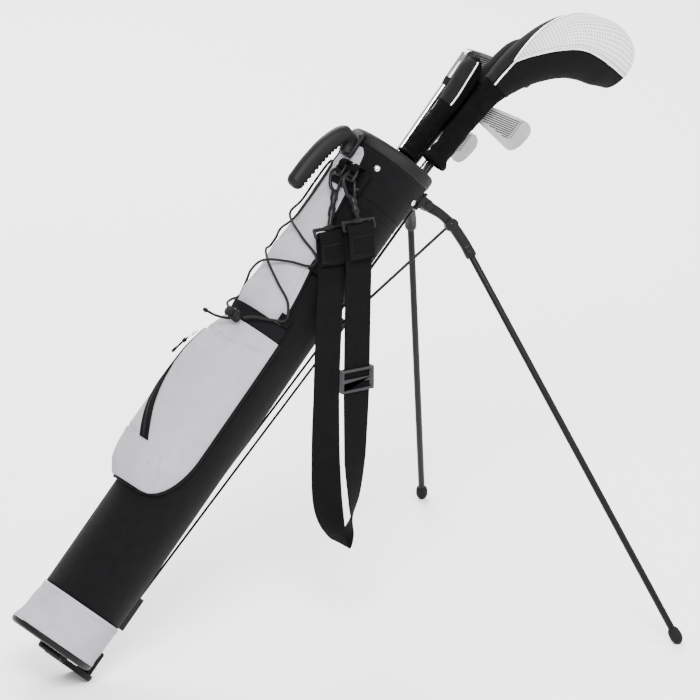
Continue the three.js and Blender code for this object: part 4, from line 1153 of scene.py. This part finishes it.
def shafts():
    grip = [(0, 9.2), (0.006, 11.6), (0.02, 12.3)]
    grip += [(f, lerp(12.2, 8.7, f) - (0.5 if k % 2 else 0)) for k, f in
             enumerate([0.05 + 0.0125 * i for i in range(74)])]
    grip += [(0.99, 8.6), (1, 7.4)]
    for name, (_, _, top) in CLUBS.items():
        iron = name.startswith("iron")
        steps = 14 if iron else 2
        profile = [(0, 6.2)]
        for k in range(1, steps + 1):
            f = k / (steps + 1)
            profile += [(f - 0.0015, lerp(BUTT_R, TIP_R, (k - 1) / steps)),
                        (f, lerp(BUTT_R, TIP_R, k / steps))]
        profile.append((1, 4.4))
        shaft = rod_rings(club_line(name, SHAFT_BOTTOM), club_line(name, top), profile, 24)
        join_shells(f"{name}_shaft_fine", [shaft], SHAFT_STEEL if iron else GRAPHITE, name,
                    replaces=[f"{name}_shaft"])
        sheath = rod_rings(club_line(name, GRIP_FROM), club_line(name, GRIP_TO), grip, 28)
        join_shells(f"{name}_grip_fine", [sheath], GRIP, name, replaces=[f"{name}_grip"])


def irons():
    for name, (turn, length, toe) in IRON_TURN.items():
        refine(f"{name}_head", STEEL, 1.1, 30)
        foot, rim, top = CLUBS[name]
        axis = (Vector(rim) - Vector(foot)).normalized()
        place = BAG @ Matrix.Translation(club_line(name, top)) @ (
            Vector((0, 0, 1)).rotation_difference(axis).to_matrix().to_4x4()
            @ Matrix.Rotation(math.radians(turn), 4, "Z"))
        face_ends = (14, length - 22)
        sole_at_heel = 1.5 - 0.15 * (14 - 10) * (41 - toe) / (length - 24)
        # painted shade: the face grooves and the line near the toe are dark rods laid on the steel, standing
        # in for the shade inside cut grooves
        lines = []
        for k in range(12):
            heel, tip = ([x, 15.5 - 3.1 * k + (x - 10) * 19 / (length - 24)] for x in face_ends)
            if heel[1] < sole_at_heel:
                share = (sole_at_heel - heel[1]) / (tip[1] - heel[1])
                if share > 0.85:
                    continue
                heel = [lerp(heel[0], tip[0], share), sole_at_heel]
            a, b = (Vector((x, FACE_Y, z)) for x, z in (heel, tip))
            lines.append(rod_rings(a, b, [(0, 0.5), (0.01, 0.75), (0.99, 0.75), (1, 0.5)], 8))
        edge = rod_rings(Vector((length - 20.5, FACE_Y, 36)), Vector((length - 19.5, FACE_Y, 5)),
                         [(0, 0.3), (0.02, 0.45), (0.98, 0.45), (1, 0.3)], 8)
        join_shells(f"{name}_grooves", lines + [edge], GROOVE_SHADE, name, place=place)
        ferrule = rod_rings(Vector((0, 0, -46)), Vector((0, 0, -33)), [(0, 4.9), (0.5, 5.9), (1, 6.2)], 24)
        join_shells(f"{name}_ferrule", [ferrule], RUBBER, name, place=place)


# per cover, rows of spine point and half sizes, from the open end to the toe
COVERS = {
    "driver": [(38.5, -34, 850, 19, 19), (40, -34, 880, 16, 16.5), (43.5, -35, 920, 16, 16.5),
               (46, -37, 965, 17.5, 18), (50, -44, 1006, 24, 24), (62, -57, 1052, 36, 31),
               (92, -68, 1096, 47, 36), (138, -70, 1117, 48, 36), (178, -69, 1121, 38, 29),
               (194, -68, 1122, 22, 18)],
    "fairway": [(52.6, 14.7, 903, 13, 13), (54, 15, 918, 12.5, 12.5), (57.5, 15.5, 945, 13, 12.5),
                (61, 13.5, 980, 15, 14.5), (69, 3, 1014, 24, 20), (82, -5, 1042, 35, 22),
                (102, -6, 1054, 36, 22), (118, -6, 1058, 22, 16)],
    "hybrid": [(19, -1, 840, 16, 16), (20, -0.5, 862, 14.5, 14.5), (23, 0, 905, 14, 14.5),
               (26, 0, 940, 15.5, 17), (25, 0, 966, 16.5, 18), (23.5, 0, 990, 16.5, 18),
               (23, 0, 1012, 10, 12)]}
COVER_INSET = 1.2


class Cover:
    """A soft cover's surface: share f from its open end to its toe, angle t round its spine."""

    steps = 300

    def __init__(self, name, sock):
        rows = COVERS[name]
        self.name = name
        self.sock = sock
        self.points = catmull([Vector(r[:3]) for r in rows], self.steps)
        self.sizes = catmull([Vector((r[3], r[4], 0)) for r in rows], self.steps)
        self.frames = []
        for i in range(self.steps + 1):
            t = (self.points[min(i + 1, self.steps)] - self.points[max(i - 1, 0)]).normalized()
            u = (Vector((0, 1, 0)) - t * t.y).normalized()
            self.frames.append((t, u, t.cross(u)))

    def at(self, f, t, grow=0.0):
        """Point on the surface at share f, angle t in degrees, moved outward by grow."""
        g = clamp(f) * self.steps
        i = min(int(g), self.steps - 1)
        w = g - i
        p = self.points[i].lerp(self.points[i + 1], w)
        size = self.sizes[i].lerp(self.sizes[i + 1], w)
        _, u, v = (a.lerp(b, w) for a, b in zip(self.frames[i], self.frames[i + 1]))
        rad = math.radians(t)
        close = math.sqrt(max(1 - clamp((f - 0.9) / 0.1) ** 2, 0.0))
        lift = (grow + self.wrinkle(f, rad)) * close
        half_v = max(size.x * close, 0.4) + lift
        half_u = max(size.y * close, 0.4) + lift
        return p + u * half_u * math.cos(rad) + v * half_v * math.sin(rad)

    def wrinkle(self, f, rad):
        sock = smooth(self.sock + 0.05, self.sock - 0.05, f)
        folds = 1.5 * round_ripple(rad, 1.3, f * 22) + 0.7 * round_ripple(rad, 3, f * 40)
        hem = 1.3 * bell(f, 0.015, 0.018) - 0.9 * bell(f, 0.05, 0.015)
        body = 0.9 * round_ripple(rad, 1.1, f * 7 + 3) + 0.4 * round_ripple(rad, 2.5, f * 16)
        return sock * (folds + hem) + (1 - sock) * body - COVER_INSET

    def line(self, f0, f1, angle, grow):
        """91 points from share f0 to f1; angle is a number, or gives one for a share."""
        shares = [lerp(f0, f1, i / 90) for i in range(91)]
        return [self.at(f, angle(f) if callable(angle) else angle, grow) for f in shares]


def cover_body(cover):
    outer = [[cover.at(i / 170, 5 * j) for j in range(72)] for i in range(171)]
    inner = [[cover.at(f, 5 * j, -2.6) for j in range(72)] for f in (0.08, 0.03, 0.0)]
    build(f"{cover.name}_sock", inner + outer, KNIT, cover.name,
          replaces=[f"{cover.name}_cover"])


def cover_panel(cover, name, material, f0, f1, t_lo, t_hi, lift, rows=90, cols=40):
    """A sewn-on panel from share f0 to f1, between two angles that change along it."""
    rings = []
    for i in range(rows + 1):
        f = lerp(f0, f1, i / rows)
        angles = [lerp(t_lo(f), t_hi(f), j / cols) for j in range(cols + 1)]
        over = [cover.at(f, t, lift * (1 - 0.6 * abs(2 * j / cols - 1) ** 6)) for j, t in enumerate(angles)]
        rings.append(over + [cover.at(f, t, -0.8) for t in reversed(angles)])
    build(name, rings, material, cover.name)


def cover_piping(cover, label, line, r):
    build(f"{cover.name}_piping_{label}", tube_rings(line, r, 10, Vector((0, 1, 0.2))), PALE_PIPING,
          cover.name)


def driver_cover():
    cover = Cover("driver", 0.44)
    cover_body(cover)
    neck, start = 0.40, 0.50

    def near_edge(f):
        return table([(neck, 138), (start, 131), (0.56, 152), (0.63, 168), (0.72, 184), (0.78, 192),
                      (0.86, 196), (1, 200)], f)

    def far_edge(f):
        return table([(neck, 132), (start, 127), (0.6, 100), (0.7, 84), (0.8, 60), (0.9, 40), (1, 20)], f)

    cover_panel(cover, "driver_crown", MESH, start, 0.997, far_edge, near_edge, 1.5, 120, 70)
    for label, edge, s in (("near", near_edge, 1), ("far", far_edge, -1)):
        cover_piping(cover, label, cover.line(start, 0.99, edge, 1.0), 1.2)
        inset = cover.line(start + 0.05, 0.985, lambda f: edge(f) - s * 7, 1.9)
        stitches(f"driver_stitch_{label}", [inset], "driver", THREAD_PALE, r=0.35, pitch=3)
    cover_piping(cover, "spine", cover.line(neck, start, near_edge, 1.1), 1.3)
    cover_panel(cover, "driver_skirt", SOFT_BLACK, neck, 0.992, lambda f: near_edge(f) + 4, lambda f: 262,
                1.3)
    cover_panel(cover, "driver_side", PANEL_BLACK, neck, 0.992, lambda f: -88, lambda f: far_edge(f) - 4,
                1.0, 90, 60)
    stitches("driver_skirt_stitch", [cover.line(0.55, 0.985, 236, 1.4)], "driver", THREAD_BLACK, r=0.4)


def small_cover(name, sock, start, end):
    cover = Cover(name, sock)
    cover_body(cover)
    cover_panel(cover, f"{name}_panel", PANEL_BLACK, start, end, lambda f: 20, lambda f: 158, 1.0)
    for label, angle in (("near", 160), ("far", 18)):
        cover_piping(cover, label, cover.line(start, end, angle, 0.9), 1.1)
    stitches(f"{name}_stitch", [cover.line(start + 0.02, end - 0.02, 150, 1.3)], name, THREAD_BLACK)


# ---- make everything
for make in (camera, stage_set, sleeve, boot, collar, carry_handle, pocket, zip_track, zip_slider, panel,
             elastic_band, lacing, cord_lock, strap, strap_patch, rings):
    make()
for which in RINGS_Y:
    snap_hook(which)
for leg_name, leg_side in (("near", 1), ("far", -1)):
    leg(leg_name, leg_side)
linkage()
shafts()
irons()
driver_cover()
small_cover("fairway", 0.42, 0.46, 0.97)
small_cover("hybrid", 0.40, 0.46, 0.94)
refine("base_cap", PLASTIC, 0.9)
refine("foot_lever", RUBBER, 1.0)
refine("strap_buckle", GREY_PLASTIC, 0.8)
refine("liner_tube", LINER, 0.0)
for wood in ("driver", "fairway", "hybrid"):
    refine(f"{wood}_head", HEAD_PAINT, 0.3)
